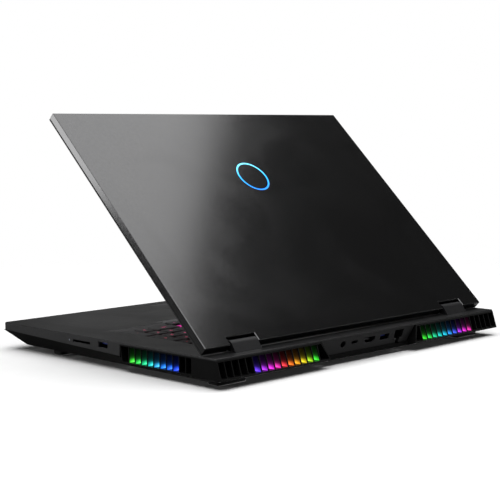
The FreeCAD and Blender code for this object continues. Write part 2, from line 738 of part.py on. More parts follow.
def side_ports():
    """The connectors and the status lamp on the two sides."""
    outer = side_outline("usb_side_y", "usb_side_axis", "usb_wide", "usb_tall", "0")
    inner = side_outline("usb_side_y", "usb_side_axis", "usb_wide", "usb_tall", "-usb_wall")
    tongue = side_outline("usb_side_y", "usb_side_axis - 1.1", "11.1", "1.9", "0")
    right_span = ("width / 2 - port_deep", "width / 2 - 0.4")
    port = node("usb_a_port_right", port_shell("yz", outer, inner, tongue, right_span, False))
    node("usb_a_port_left", mirrored(port))
    card_span = ("width / 2 - card_wide", "width / 2 - 0.4")
    node("card_reader", cut(
        prism("yz", side_outline("card_y", "card_axis", "card_wide", "card_tall", "0"), card_span),
        prism("yz", side_outline("card_y", "card_axis", "card_wide", "card_tall", "-0.4"),
              ("width / 2 - card_wide + 1", "width / 2")),
    ))
    left_span = ("0.4 - width / 2", "audio_deep - width / 2")
    jacks = []
    for place in ("audio_y", "audio_y + audio_gap"):
        centre = (ahead(place), below("card_axis"))
        bore = ("-width / 2", "audio_deep - width / 2 - 1")
        jacks.append(cut(rod("x", "audio_shell", centre, left_span),
                         rod("x", "audio_radius", centre, bore)))
    node("audio_jacks", group(*jacks))
    node("status_lamp", rod("x", "0.8", (ahead("lamp_y"), below("card_axis")),
                            ("width / 2 - 6", "width / 2 - 0.3")))
    under = (below("usb_side_axis + usb_tall / 2 + board_thick"),
             below("usb_side_axis + usb_tall / 2"))
    ends = (ahead("post_radius + 192"), ahead("150 - 9"))
    board = block(("width / 2 - 30", "width / 2 - 5"),
                  (ahead("200"), ahead("190")), under)
    strip = block(("width / 2 - 31.5", "width / 2 - 26"), ends, under)
    tab = block(("width / 2 - 26", "width / 2 - 4"),
                (ahead("usb_side_y + 8"), ahead("usb_side_y - 5")), under)
    right = fuse(board, strip, tab)
    node("side_boards", group(right, mirrored(right)))


# ---------------------------------------------------------------- inside the case
def electronics():
    """Mainboard, chips, memory, storage, radio card, battery and speakers."""
    board_low = "board_top + board_thick"
    outline_points = [
        ("-54", ahead("18.2")), ("54", ahead("18.2")), ("54", ahead("115")),
        ("164", ahead("115")), ("164", ahead("176")), ("-164", ahead("176")),
        ("-164", ahead("115")), ("-54", ahead("115")),
    ]
    board = prism("xy", outline_points, (below(board_low), below("board_top")))
    node("mainboard", board)
    chips = [
        block((f"{centre} - 15", f"{centre} + 15"), (ahead("43"), ahead("19.5")),
              (below(f"{board_low} + 1.2"), below(board_low)))
        for centre in (-28, 28)
    ]
    node("processors", group(*chips))
    plates = [
        block((f"{centre} - 19", f"{centre} + 19"), (ahead("44"), ahead("19")),
              (below("pipe_axis - pipe_radius"), below(f"{board_low} + 1.2")))
        for centre in (-28, 28)
    ]
    node("cold_plates", group(*plates))
    node("memory_modules", group(*[
        block(("-120", "-50"), (ahead(f"{place} + 14"), ahead(place)),
              (below(f"{board_low} + 3.6"), below(board_low)))
        for place in (128, 146)
    ]))
    node("storage_drives", group(*[
        block(("40", "120"), (ahead(f"{place} + 22"), ahead(place)),
              (below(f"{board_low} + 3"), below(board_low)))
        for place in (120, 148)
    ]))
    node("radio_card", block(("-158", "-128"), (ahead("160"), ahead("138")),
                             (below(f"{board_low} + 2.4"), below(board_low))))
    cells = [
        block((f"{first} + 0.6", f"{first} + 49.4"), (ahead("266"), ahead("194")),
              (below("floor_in - 0.5"), below("7")))
        for first in (-100, -50, 0, 50)
    ]
    strip = block(("-100", "100"), (ahead("194"), ahead("189")),
                  (below("floor_in - 0.5"), below("7")))
    node("battery_pack", fuse(*cells, strip))
    node("speakers", group(*[
        block((f"{side} * 148 - 22", f"{side} * 148 + 22"), (ahead("262"), ahead("230")),
              (below("floor_in - 0.2"), below("8")))
        for side in (1, -1)
    ]))
    board_x = ("-well_half - 4", "well_half + 4")
    board_y = (ahead("well_front + 12"), ahead("well_back - 4"))
    node("keyboard_plate", fuse(
        block(board_x, board_y, (below("plate_top + 0.8"), below("plate_top"))),
        block(("arrow_left - 4", "arrow_right + 4"), (ahead("arrow_front + 4"), ahead("186")),
              (below("plate_top + 0.8"), below("plate_top"))),
    ))
    node("keyboard_backlight", block(
        board_x, board_y, (below("plate_top + 1.2"), below("plate_top + 0.8"))))


def heat_stack(x, y, fins_along_x):
    """A block of cooling fins: air slots are cut right through it."""
    height = (below("stack_low"), below("stack_top"))
    body = prism("xy", rectangle(x, y), height)
    if fins_along_x:
        first = rectangle((f"{x[0]} + 1", f"{x[0]} + 2.9"), (f"{y[0]} - 1", f"{y[1]} + 1"))
    else:
        first = rectangle((f"{x[0]} - 1", f"{x[1]} + 1"), (f"{y[0]} + 1", f"{y[0]} + 2.9"))
    slot = add_pocket(body, "xy", first, (below("stack_low - 0.6"), below("stack_top + 0.6")))
    row = body.newObject("PartDesign::LinearPattern", "Slots")
    row.Originals = [slot]
    row.Direction = (slot.Profile[0], ["H_Axis" if fins_along_x else "V_Axis"])
    row.Occurrences = 31 if fins_along_x else 18
    row.Length = 3.5 * (row.Occurrences - 1)
    body.Tip = row
    doc.recompute()
    return body


def cooling():
    """Fin stacks behind the vents, heat pipes through them, fan housings and rotors."""
    pipe_places = ("23", "29.5")
    stack = heat_stack(("73", "183"), (ahead("34"), ahead("13")), True)
    bores = [
        rod("x", "pipe_radius + 0.05", (ahead(place), below("pipe_axis")), ("60", "190"))
        for place in pipe_places
    ]
    rear_stack = cut(stack, *bores)
    node("rear_heatsinks", group(rear_stack, mirrored(rear_stack)))
    side_stack = heat_stack(("168", "183"), (ahead("112"), ahead("47")), False)
    node("side_heatsinks", group(side_stack, mirrored(side_stack)))
    node("heat_pipes", group(*[
        rod("x", "pipe_radius", (ahead(place), below("pipe_axis")), ("-182.5", "182.5"))
        for place in pipe_places
    ]))
    housing = fan_housing()
    node("fan_housing_right", housing)
    node("fan_housing_left", mirrored(housing))
    rotor = fan_rotor()
    node("fan_rotor_right", rotor)
    node("fan_rotor_left", mirrored(rotor))


def fan_housing():
    """A fan's box: round inlets, an outlet to the fin stack, and a spoked seat for the motor."""
    centre = ("fan_x", ahead("fan_y"))
    height = (below("fan_low"), below("fan_top"))
    inside = (below("fan_low - fan_wall"), below("fan_top + fan_wall"))
    x = ("fan_x - fan_half", "fan_x + fan_half")
    box = block(x, (ahead("fan_y + fan_half"), ahead("fan_y - fan_half")), height)
    cavity = fuse(
        rod("z", "fan_cavity", centre, inside),
        block(("fan_x - 30", "fan_x + 34.5"), (ahead("fan_y"), ahead("fan_y - fan_half - 1")), inside),
    )
    inlet = rod("z", "fan_inlet", centre, (below("fan_low + 1"), below("fan_top - 1")))
    seat = rod("z", "hub_radius + 1", centre, (below("fan_low"), below("fan_low - fan_wall")))
    spokes = [
        block(("fan_x - 26", "fan_x + 26"), (ahead("fan_y + 1.5"), ahead("fan_y - 1.5")),
              (below("fan_low"), below("fan_low - fan_wall"))),
        block(("fan_x - 1.5", "fan_x + 1.5"), (ahead("fan_y + 26"), ahead("fan_y - 26")),
              (below("fan_low"), below("fan_low - fan_wall"))),
    ]
    bush = rod("z", "3", centre, (below("fan_low"), below("fan_low - fan_wall - 1")))
    bore = rod("z", "bush_radius", centre, (below("fan_low + 1"), below("fan_low - 4")))
    return cut(fuse(cut(box, cavity, inlet), seat, bush, *spokes), bore)


def fan_rotor():
    """The rotor: a hub on a thin shaft, with flat blades round it."""
    centre = ("fan_x", ahead("fan_y"))
    height = (below("fan_low - fan_wall - 1.6"), below("fan_top + fan_wall + 0.6"))
    hub = rod("z", "hub_radius", centre, height)
    shaft = rod("z", "shaft_radius", centre, (below("fan_low - 0.2"), below("fan_low - 5")))
    blades = []
    for index in range(BLADES):
        blade = doc.addObject("Part::Box", "Blade")
        turn = FreeCAD.Rotation(FreeCAD.Vector(0, 0, 1), 360.0 * index / BLADES)
        blade.Placement = FreeCAD.Placement(FreeCAD.Vector(), turn)
        bind(blade, "Placement.Base.x", "fan_x")
        bind(blade, "Placement.Base.y", ahead("fan_y"))
        bind(blade, "Placement.Base.z", height[0])
        bind(blade, "Length", "rotor_radius")
        bind(blade, "Width", "blade_thick")
        bind(blade, "Height", f"{height[1]} - {height[0]}")
        blades.append(blade)
    return fuse(hub, shaft, *blades)


def feet_and_screws():
    """Rubber feet and the screws that hold the bottom cover."""
    feet = []
    for side in (1, -1):
        for across, half, depth, long in (("170", "16", "11", "13"), ("176", "10", "228", "12")):
            feet.append(frustum(
                (f"{side} * {across} - {half}", f"{side} * {across} + {half}"),
                (ahead(f"{depth} + {long}"), ahead(depth)), ("0", "foot_lift"), "-0.8", "-0.8",
            ))
    node("rubber_feet", group(*feet))
    screws = []
    for across, depth in SCREW_PLACES:
        for side in (1, -1):
            centre = (f"{side} * {across}", ahead(depth))
            shank = rod("z", "screw_radius", centre, (below("floor_out - 0.6"), below("11")))
            head = rod("z", "head_radius", centre,
                       (below("floor_out - 0.1"), below("floor_out - 1")))
            drive = rod("z", "0.9", centre, (below("floor_out"), below("floor_out - 0.6")))
            screws.append(cut(fuse(shank, head), drive))
    node("case_screws", group(*screws))


# ---------------------------------------------------------------- hinges
def hinge_profile():
    """The side view of a hinge cover without its round top."""
    return [
        (ahead("axis_y + cover_radius"), "deck"), (ahead("9.5"), "deck"),
        (ahead("14.9"), "deck + 7.6"), (ahead("axis_y"), "deck + axis_z"),
        (ahead("axis_y + cover_radius"), "deck + axis_z"),
    ]


def hinges():
    """Hinge covers, the brackets inside them and the arms that carry the lid."""
    axis = (ahead("axis_y"), "deck + axis_z")
    span = ("cover_in", "cover_out")
    outer = fuse(prism("yz", hinge_profile(), span), rod("x", "cover_radius", axis, span))
    room = ("cover_in + 1.8", "cover_out - 1.8")
    hollow = fuse(
        rod("x", "knuckle_radius + 0.5", axis, room),
        block(room, (ahead("axis_y + 4"), ahead("axis_y - 4")), ("deck - 1", "deck + axis_z")),
    )
    pin_hole = rod("x", "pin_radius + 0.3", axis, ("cover_out - 3", "cover_out + 1"))
    under = block(("cover_in - 1", "cover_out + 1"), (ahead("axis_y + 8"), ahead("axis_y - 12")),
                  ("deck - 3", "deck"))
    cover = cut(outer, hollow, pin_hole, under)
    node("hinge_covers", group(cover, mirrored(cover)))
    knuckle = rod("x", "knuckle_radius", axis, ("knuckle_in", "knuckle_out"))
    web = block(("knuckle_in", "knuckle_out"), (ahead("axis_y + 2.4"), ahead("axis_y - 2.4")),
                (below("skin + 1.6"), "deck + axis_z"))
    foot = block(("knuckle_in - 4", "width / 2 - vent_wall - 1"), (ahead("46"), ahead("vent_wall + 1")),
                 (below("skin + 1.6"), below("skin")))
    bore = rod("x", "bore_radius", axis, ("knuckle_in - 1", "knuckle_out + 1"))
    bracket = cut(fuse(knuckle, web, foot), bore)
    node("hinge_brackets", group(bracket, mirrored(bracket)))


# ---------------------------------------------------------------- lid
def place_lid(item):
    """Carry a piece from the hinge line's own frame to the lid's half-open rest position."""
    item.Placement = FreeCAD.Placement(
        FreeCAD.Vector(), FreeCAD.Rotation(FreeCAD.Vector(-1, 0, 0), 45)
    )
    bind(item, "Placement.Rotation.Angle", "lid_angle")
    bind(item, "Placement.Base.y", ahead("axis_y"))
    bind(item, "Placement.Base.z", "deck + axis_z")
    return item


def lid_outline(inset):
    """The lid's outline with its two hinge notches, in the closed position."""
    half = f"(lid_width / 2 - {inset})"
    low = f"(lid_tail - {inset})"
    high = f"-(lid_length - lid_tail - {inset})"
    near = f"(notch_in - {inset})"
    far = f"(notch_out + {inset})"
    deep = f"-(notch_deep + {inset})"
    return [
        (f"-{half}", low), (f"-{far}", low), (f"-{far}", deep), (f"-{near}", deep),
        (f"-{near}", low), (near, low), (near, deep), (far, deep), (far, low), (half, low),
        (half, high), (f"-{half}", high),
    ]


def lid():
    """The lid: a metal cover with a glowing ring, the bezel, the screen and the camera."""
    body = new_body()
    seam = "(bezel_thick - lid_inner)"
    slab = add_pad(body, "xy", lid_outline("0"), (seam, "lid_outer"))
    top = edge_names(slab, lambda point: abs(point.z - DIMENSIONS["lid_outer"]) < 0.01)
    soften(body, "Chamfer", slab, top, "Size", "lid_break")
    cavity = lid_outline("lid_wall")
    add_pocket(body, "xy", cavity, (f"{seam} - 0.01", "lid_outer - lid_skin"))
    node("lid_cover", place_lid(cut(body, ring("ring_deep", "1"), *pin_gaps())))
    node("lid_ring", place_lid(ring("ring_deep", "0")))
    frame = prism("xy", lid_outline("0"), ("-lid_inner", f"{seam} - seam_tall"))
    add_pad(frame, "xy", lid_outline("seam_deep"), (f"{seam} - seam_tall", seam))
    window = rectangle(("-screen_half", "screen_half"), ("-screen_high", "-screen_low"))
    add_pocket(frame, "xy", window, ("-lid_inner - 1", f"{seam} + 1"))
    eye = rod("z", "1.6", ("0", "-camera_y"), ("-lid_inner - 1", "0"))
    node("lid_bezel", place_lid(cut(frame, eye)))
    edge = "2.4"
    panel = block(
        (f"-screen_half - {edge}", f"screen_half + {edge}"),
        (f"-screen_high - {edge}", f"-screen_low + {edge}"), (seam, f"{seam} + screen_thick"),
    )
    node("display_panel", place_lid(group(panel)))
    camera = fuse(
        block(("-22", "22"), ("-camera_y - 2.4", "-camera_y + 2.4"), (seam, f"{seam} + 1.8")),
        rod("z", "1.4", ("0", "-camera_y"), ("0.3 - lid_inner", f"{seam} + 0.5")),
    )
    node("webcam_module", place_lid(camera))
    bumpers = [
        rod("z", "bumper_radius", (f"{side} * (lid_width / 2 - 2.1)", f"-{place}"),
            ("-lid_inner - bumper_tall", "-lid_inner"))
        for side in (1, -1) for place in (40, 275)
    ]
    node("lid_bumpers", place_lid(group(*bumpers)))
    arm = fuse(
        rod("x", "pin_radius", ("0", "0"), ("knuckle_in + 1", "arm_out")),
        block(("arm_in", "arm_out"), ("-7", "0.4"), ("-1", "lid_outer - lid_skin")),
        block(("arm_in", "arm_out"), ("-arm_long", "0.4"), ("1.4", "lid_outer - lid_skin")),
    )
    node("hinge_arms", place_lid(group(arm, mirrored(arm))))


def ring(deep, proud):
    """The glowing ring inlaid in the back of the lid."""
    height = (f"lid_outer - {deep}", f"lid_outer + {proud}")
    centre = ("0", "-ring_y")
    return cut(rod("z", "ring_radius", centre, height),
               rod("z", "ring_radius - ring_wide", centre,
                   (f"lid_outer - {deep} - 1", f"lid_outer + {proud} + 1")))


def pin_gaps():
    """Room for the hinge pins in the outer walls of the notches and behind the lower edge."""
    middle = "(notch_out + arm_out) / 2"
    half = "((arm_out - notch_out) / 2 + 0.4)"
    return [
        block((f"{side} * {middle} - {half}", f"{side} * {middle} + {half}"),
              ("-1.8", "pin_radius + 0.06"), ("-1.8", "1.8"))
        for side in (1, -1)
    ]


# ---------------------------------------------------------------- keys and buttons
def keycap(x, y):
    """One keycap: a low block whose top is drawn in."""
    gap = "key_gap / 2"
    return frustum(
        (f"{x[0]} + {gap}", f"{x[1]} - {gap}"), (f"{y[0]} + {gap}", f"{y[1]} - {gap}"),
        (below("key_top + key_thick"), below("key_top")), "key_slope", "key_slope",
    )


def key_row(widths, row, left="key_left", unit="key_unit"):
    """A row of keycaps. Widths are in key units, and row 0 is the number row."""
    back = f"rear - key_back - function_deep - {row} * row_pitch"
    caps = []
    place = 0.0
    for wide in widths:
        x = (f"{left} + {place} * {unit}", f"{left} + {place + wide} * {unit}")
        caps.append(keycap(x, (f"{back} - row_pitch", back)))
        place += wide
    return caps


def keyboard():
    """Keycaps, one sub-part for each row that travels together in this model."""
    back = "rear - key_back"
    function_unit = "key_unit * 14.5 / 15"
    caps = [
        keycap((f"key_left + {index} * {function_unit}", f"key_left + {index + 1} * {function_unit}"),
               (f"{back} - function_deep", back))
        for index in range(15)
    ]
    caps += [
        keycap((f"pad_left + {index} * pad_unit", f"pad_left + {index + 1} * pad_unit"),
               (f"{back} - function_deep", back))
        for index in range(4)
    ]
    node("keys_function_row", group(*caps))
    node("keys_number_row", group(*key_row([1] * 13 + [1.5], 0)))
    node("keys_upper_row", group(*key_row([1.5] + [1] * 12 + [1], 1)))
    node("keys_home_row", group(*key_row([1.75] + [1] * 11 + [1.75], 2)))
    node("keys_lower_row", group(*key_row([2.25] + [1] * 10 + [2.25], 3)))
    bottom = key_row([1.25, 1, 1, 1.25, 5, 1, 1], 4)
    node("space_bar", group(bottom.pop(4)))
    node("keys_bottom_row", group(*bottom))
    node("keys_arrows", group(*arrow_keys()))
    node("keys_number_pad", group(*number_pad()))


def arrow_keys():
    """The four arrow keys, half a row further forward than the rest."""
    back = "rear - key_back - function_deep - 4 * row_pitch"
    caps = []
    for column, row in ((1, 0), (0, 1), (1, 1), (2, 1)):
        x = (f"arrow_left + 0.7 + {column} * key_unit", f"arrow_left + 0.7 + {column + 1} * key_unit")
        rows = (f"{back} - {row + 1} * arrow_pitch", f"{back} - {row} * arrow_pitch")
        caps.append(keycap(x, rows))
    return caps


def number_pad():
    """The number pad: its plus and enter keys are two rows deep, its zero two columns wide."""
    caps = []
    for row, widths in enumerate(([1, 1, 1, 1], [1, 1, 1], [1, 1, 1], [1, 1, 1], [2, 1])):
        caps += key_row(widths, row, "pad_left", "pad_unit")
    x = ("pad_left + 3 * pad_unit", "pad_left + 4 * pad_unit")
    for row in (1, 3):
        back = f"rear - key_back - function_deep - {row} * row_pitch"
        caps.append(keycap(x, (f"{back} - 2 * row_pitch", back)))
    return caps


def touchpad_and_button():
    """The touchpad with its circuit board and bracket, and the power button."""
    x = ("pad_x0", "pad_x1")
    y = (ahead("pad_front"), ahead("pad_back"))
    node("touchpad", block(x, y, (below("pad_sunk + pad_thick"), below("pad_sunk"))))
    board_low = below("pad_sunk + pad_thick + 1")
    board = block(
        ("pad_x0 + 4", "pad_x1 - 4"), (ahead("pad_front - 4"), ahead("pad_back + 2")),
        (board_low, below("pad_sunk + pad_thick")))
    plate = (below("pad_axis + 1.6"), below("pad_axis + 0.9"))
    rail = block(("pad_x0 + 2", "pad_x1 - 2"), (ahead("pad_front - 6"), ahead("pad_front - 12")),
                 plate)
    middle = block(("pad_x0 + 60", "pad_x1 - 60"), (ahead("pad_front - 6"), ahead("pad_back + 2")),
                   plate)
    rear_rail = block(("pad_x0 + 2", "pad_x1 - 2"), (ahead("pad_back + 8"), ahead("pad_back + 2")),
                      plate)
    axis = (ahead("pad_back + 4"), below("pad_axis"))
    moving = [board]
    ears = []
    bores = []
    for end in ("pad_x0 + 12", "pad_x1 - 12"):
        moving.append(rod("x", "pivot_radius", axis, (f"{end} - 4", f"{end} + 4")))
        for side in ("- 3.2", "+ 3.2"):
            moving.append(block(
                (f"{end} {side} - 0.8", f"{end} {side} + 0.8"),
                (ahead("pad_back + 4 + pivot_radius"), ahead("pad_back + 4 - pivot_radius")),
                (below("pad_axis"), board_low)))
        ears.append(block(
            (f"{end} - 1", f"{end} + 1"), (ahead("pad_back + 6"), ahead("pad_back + 2")),
            (below("pad_axis + 1.6"), below("pad_axis - 1.25"))))
        bores.append(rod("x", "pivot_radius + 0.04", axis, (f"{end} - 2", f"{end} + 2")))
    node("touchpad_board", fuse(*moving))
    node("touchpad_bracket", cut(fuse(rail, middle, rear_rail, *ears), *bores))
    centre = ("0", ahead("button_y"))
    node("power_button", fuse(
        rod("z", "button_radius", centre, (below("1.4"), below("0.2"))),
        rod("z", "button_radius + 0.9", centre, (below("skin + 0.9"), below("skin + 0.2"))),
        rod("z", "button_radius - 1", centre, (below("skin + 0.9"), below("1"))),
    ))


# ---------------------------------------------------------------- make, test and write
def write_nodes():
    """Test every sub-part and write it as STEP."""
    doc.recompute()
    for item in doc.Objects:
        if "Invalid" in item.State or "Error" in item.State:
            raise RuntimeError(f"{item.Name} ({item.Label}) did not build")
    os.makedirs("parts", exist_ok=True)
    for item in nodes:
        shape = item.Shape
        if shape.isNull() or not shape.isValid() or not shape.Solids:
            raise RuntimeError(f"{item.Label} has no sound solid")
        shape.exportStep(f"parts/{item.Label}.step")


def main():
    """Build the laptop from the outside in, then write it."""
    fill_sheet()
    top_cover()
    bottom_cover()
    port_panel()
    vents()
    rear_ports()
    side_ports()
    electronics()
    cooling()
    feet_and_screws()
    hinges()
    lid()
    keyboard()
    touchpad_and_button()
    write_nodes()


main()
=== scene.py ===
"""Looks of a large notebook computer with lit air vents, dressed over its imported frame."""

import logging
import math
from dataclasses import dataclass
from enum import Enum
from typing import ClassVar, Sequence

import bpy
from mathutils import Matrix, Vector


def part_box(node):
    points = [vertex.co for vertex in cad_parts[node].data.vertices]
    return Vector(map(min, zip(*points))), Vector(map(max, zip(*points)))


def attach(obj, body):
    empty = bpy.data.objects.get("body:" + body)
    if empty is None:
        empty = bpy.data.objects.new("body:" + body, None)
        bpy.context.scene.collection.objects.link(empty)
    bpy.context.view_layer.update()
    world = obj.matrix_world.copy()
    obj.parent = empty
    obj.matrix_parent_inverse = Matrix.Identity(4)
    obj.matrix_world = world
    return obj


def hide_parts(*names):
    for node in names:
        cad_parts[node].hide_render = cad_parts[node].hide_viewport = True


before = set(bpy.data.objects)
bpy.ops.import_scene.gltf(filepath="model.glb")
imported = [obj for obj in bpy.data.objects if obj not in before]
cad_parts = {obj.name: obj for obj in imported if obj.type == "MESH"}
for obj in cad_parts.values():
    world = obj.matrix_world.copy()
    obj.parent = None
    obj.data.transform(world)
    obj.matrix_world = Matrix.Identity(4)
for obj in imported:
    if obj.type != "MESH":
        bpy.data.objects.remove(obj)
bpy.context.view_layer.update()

MM = 0.001
LOG = logging.getLogger("notebook")
BRUSHED_STRETCH = 60.0
DUST_COLOUR = (0.45, 0.43, 0.40)
DISH_RIM = 1.6 * MM
SHARP_ANGLE = math.radians(40.0)

Colour = tuple[float, float, float]
Point = tuple[float, float, float]
Box = tuple[Vector, Vector]
Tree = bpy.types.NodeTree
Node = bpy.types.Node
Socket = bpy.types.NodeSocket
SocketPair = tuple[Socket, Socket]
Material = bpy.types.Material


class Side(Enum):
    """The two sides of the computer, as the sign of X."""

    RIGHT = 1
    LEFT = -1


class Pattern(Enum):
    """The structure that a finish shows over its fine grain."""

    PLAIN = "plain"
    BRUSHED = "brushed"
    TRACES = "traces"


# ------------ node trees
class NodeSheet:
    """Adds nodes to a material's, a world's or a group's tree."""

    def __init__(self, tree: Tree) -> None:
        """Keeps the tree that the nodes go into."""
        self.tree = tree

    def add(self, kind: str, inputs: dict | None = None, **settings: object) -> Node:
        """Adds one shader node.

        Args:
            kind: Blender's name of the node type, without its first words.
            inputs: a value, or another node's output, for each input socket.
            settings: the node's own properties.

        Returns:
            The new node.
        """
        node = self.tree.nodes.new(f"ShaderNode{kind}")
        for name, value in settings.items():
            setattr(node, name, value)
        for key, value in (inputs or {}).items():
            if isinstance(value, Socket):
                self.join(value, node.inputs[key])
            else:
                node.inputs[key].default_value = value
        return node

    def join(self, source: Socket, target: Socket) -> None:
        """Links an output to an input."""
        self.tree.links.new(source, target)

    def close(self, result: Node, *sockets: Socket) -> Tree:
        """Joins a group's results to its output node in order, and returns the group."""
        for socket, target in zip(sockets, result.inputs):
            self.join(socket, target)
        return self.tree

    def point(self) -> Socket:
        """Returns the point's place in the piece's own coordinates."""
        return self.add("TexCoord").outputs["Object"]

    def calc(self, operation: str, *values: object) -> Socket:
        """Adds a Math node and returns its output."""
        inputs = dict(enumerate(values))
        return self.add("Math", inputs, operation=operation).outputs[0]

    def spread(self, value: Socket, source: Sequence[float], target: Sequence[float]) -> Socket:
        """Maps a value from one span to another, clamped, and returns the output."""
        inputs = {0: value, 1: source[0], 2: source[1], 3: target[0], 4: target[1]}
        return self.add("MapRange", inputs).outputs[0]

    def ramp(self, value: Socket, stops: Sequence[tuple[float, Colour]]) -> Socket:
        """Adds a colour ramp.

        Args:
            value: the output that drives it.
            stops: a place from 0 to 1 and a colour, at least two of them.

        Returns:
            The ramp's colour output.
        """
        node = self.add("ValToRGB", {"Fac": value})
        elements = node.color_ramp.elements
        while len(elements) < len(stops):
            elements.new(0.5)
        for element, (place, colour) in zip(elements, stops):
            element.position = place
            element.color = (*colour, 1.0)
        return node.outputs["Color"]


def open_group(name: str, inputs: dict[str, float],
               outputs: dict[str, str]) -> tuple[NodeSheet, Node, Node]:
    """Starts a shader node group.

    Args:
        name: the group's name.
        inputs: the default of each number that goes in.
        outputs: the socket type of each result, as Float.

    Returns:
        The group's sheet, its input node and its output node.
    """
    tree = bpy.data.node_groups.new(name, "ShaderNodeTree")
    for label, value in inputs.items():
        socket = tree.interface.new_socket(label, in_out="INPUT", socket_type="NodeSocketFloat")
        socket.default_value = value
    for label, kind in outputs.items():
        tree.interface.new_socket(label, in_out="OUTPUT", socket_type=f"NodeSocket{kind}")
    return NodeSheet(tree), tree.nodes.new("NodeGroupInput"), tree.nodes.new("NodeGroupOutput")


def open_material(name: str) -> tuple[Material, NodeSheet, Node]:
    """Starts a material, and returns it with its sheet and its Principled shader."""
    material = bpy.data.materials.new(name)
    material.use_nodes = True
    return material, NodeSheet(material.node_tree), material.node_tree.nodes["Principled BSDF"]


def set_values(node: Node, values: dict[str, object]) -> None:
    """Sets constant values on a node's own input sockets."""
    for label, value in values.items():
        node.inputs[label].default_value = value


@dataclass(frozen=True)
class Effects:
    """The shader node groups that many finishes share."""

    grain: Tree
    edges: Tree
    handling: Tree
    spectrum: Tree

    @classmethod
    def build(cls) -> "Effects":
        """Builds every group once."""
        return cls(cls.fine_grain(), cls.soft_edges(), cls.handling_marks(), cls.key_spectrum())

    @staticmethod
    def fine_grain() -> Tree:
        """A moulded or blasted grain: its height, and a slow change of tone over it."""
        sheet, source, result = open_group(
            "fine_grain", {"Scale": 3000.0, "Stretch": 1.0},
            {"Height": "Float", "Tone": "Float"})
        stretch = sheet.add("CombineXYZ", {
            0: sheet.calc("DIVIDE", 1.0, source.outputs["Stretch"]), 1: 1.0, 2: 1.0})
        place = sheet.add("VectorMath", {
            0: sheet.point(), 1: stretch.outputs[0]}, operation="MULTIPLY")
        fine = sheet.add("TexNoise", {
            "Vector": place.outputs[0], "Scale": source.outputs["Scale"],
            "Detail": 3.0, "Roughness": 0.6})
        broad = sheet.add("TexNoise", {
            "Vector": place.outputs[0], "Detail": 2.0,
            "Scale": sheet.calc("DIVIDE", source.outputs["Scale"], 14.0)})
        tone = sheet.calc("ADD", sheet.calc("MULTIPLY", fine.outputs[0], 0.5),
                          sheet.calc("MULTIPLY", broad.outputs[0], 0.5))
        return sheet.close(result, fine.outputs[0], sheet.spread(tone, (0.32, 0.68), (0.0, 1.0)))

    @staticmethod
    def soft_edges() -> Tree:
        """Rounds the sharp edges of a surface, and marks where they are worn and where a painted
        edge highlight goes.
        """
        sheet, source, result = open_group(
            "soft_edges", {"Radius": 0.0004},
            {"Normal": "Vector", "Wear": "Float"})
        rounded = sheet.add("Bevel", {"Radius": source.outputs["Radius"]}, samples=4)
        flat = sheet.add("NewGeometry").outputs["Normal"]
        turn = sheet.add("VectorMath", {0: rounded.outputs[0], 1: flat}, operation="DOT_PRODUCT")
        edge = sheet.spread(turn.outputs["Value"], (0.995, 0.8), (0.0, 1.0))
        patchy = sheet.add("TexNoise", {
            "Vector": sheet.point(), "Scale": 160.0, "Detail": 4.0}).outputs[0]
        # edge mask: real wear, and a painted highlight on bright rims
        wear = sheet.calc("MULTIPLY", edge, sheet.spread(patchy, (0.35, 0.65), (0.25, 1.0)))
        return sheet.close(result, rounded.outputs[0], wear)

    @staticmethod
    def handling_marks() -> Tree:
        """Finger smears and settled dust: two masks."""
        sheet, source, result = open_group(
            "handling_marks", {"Size": 9.0},
            {"Smear": "Float", "Dust": "Float"})
        point = sheet.point()
        smear = sheet.add("TexNoise", {
            "Vector": point, "Scale": source.outputs["Size"], "Detail": 5.0,
            "Roughness": 0.55, "Distortion": 1.2}).outputs[0]
        speck = sheet.add("TexVoronoi", {"Vector": point, "Scale": 420.0}).outputs[0]
        facing = sheet.add("SeparateXYZ", {
            0: sheet.add("NewGeometry").outputs["Normal"]}).outputs["Z"]
        dust = sheet.calc("MULTIPLY", sheet.spread(speck, (0.11, 0.04), (0.0, 1.0)),
                          sheet.spread(facing, (0.2, 0.9), (0.0, 1.0)))
        return sheet.close(result, sheet.spread(smear, (0.42, 0.68), (0.0, 1.0)), dust)

    @staticmethod
    def key_spectrum() -> Tree:
        """The key lighting's colour, which runs from side to side across the keyboard."""
        sheet, source, result = open_group(
            "key_spectrum", {"Span": 0.33}, {"Colour": "Color"})
        across = sheet.add("SeparateXYZ", {0: sheet.point()}).outputs["X"]
        place = sheet.calc("ADD", sheet.calc("DIVIDE", across, source.outputs["Span"]), 0.5)
        colour = sheet.ramp(place, [
            (0.0, (0.02, 0.65, 0.30)), (0.18, (0.02, 0.35, 1.0)), (0.42, (0.30, 0.05, 1.0)),
            (0.62, (0.85, 0.04, 0.75)), (0.82, (1.0, 0.05, 0.30)), (1.0, (1.0, 0.10, 0.12))])
        return sheet.close(result, colour)


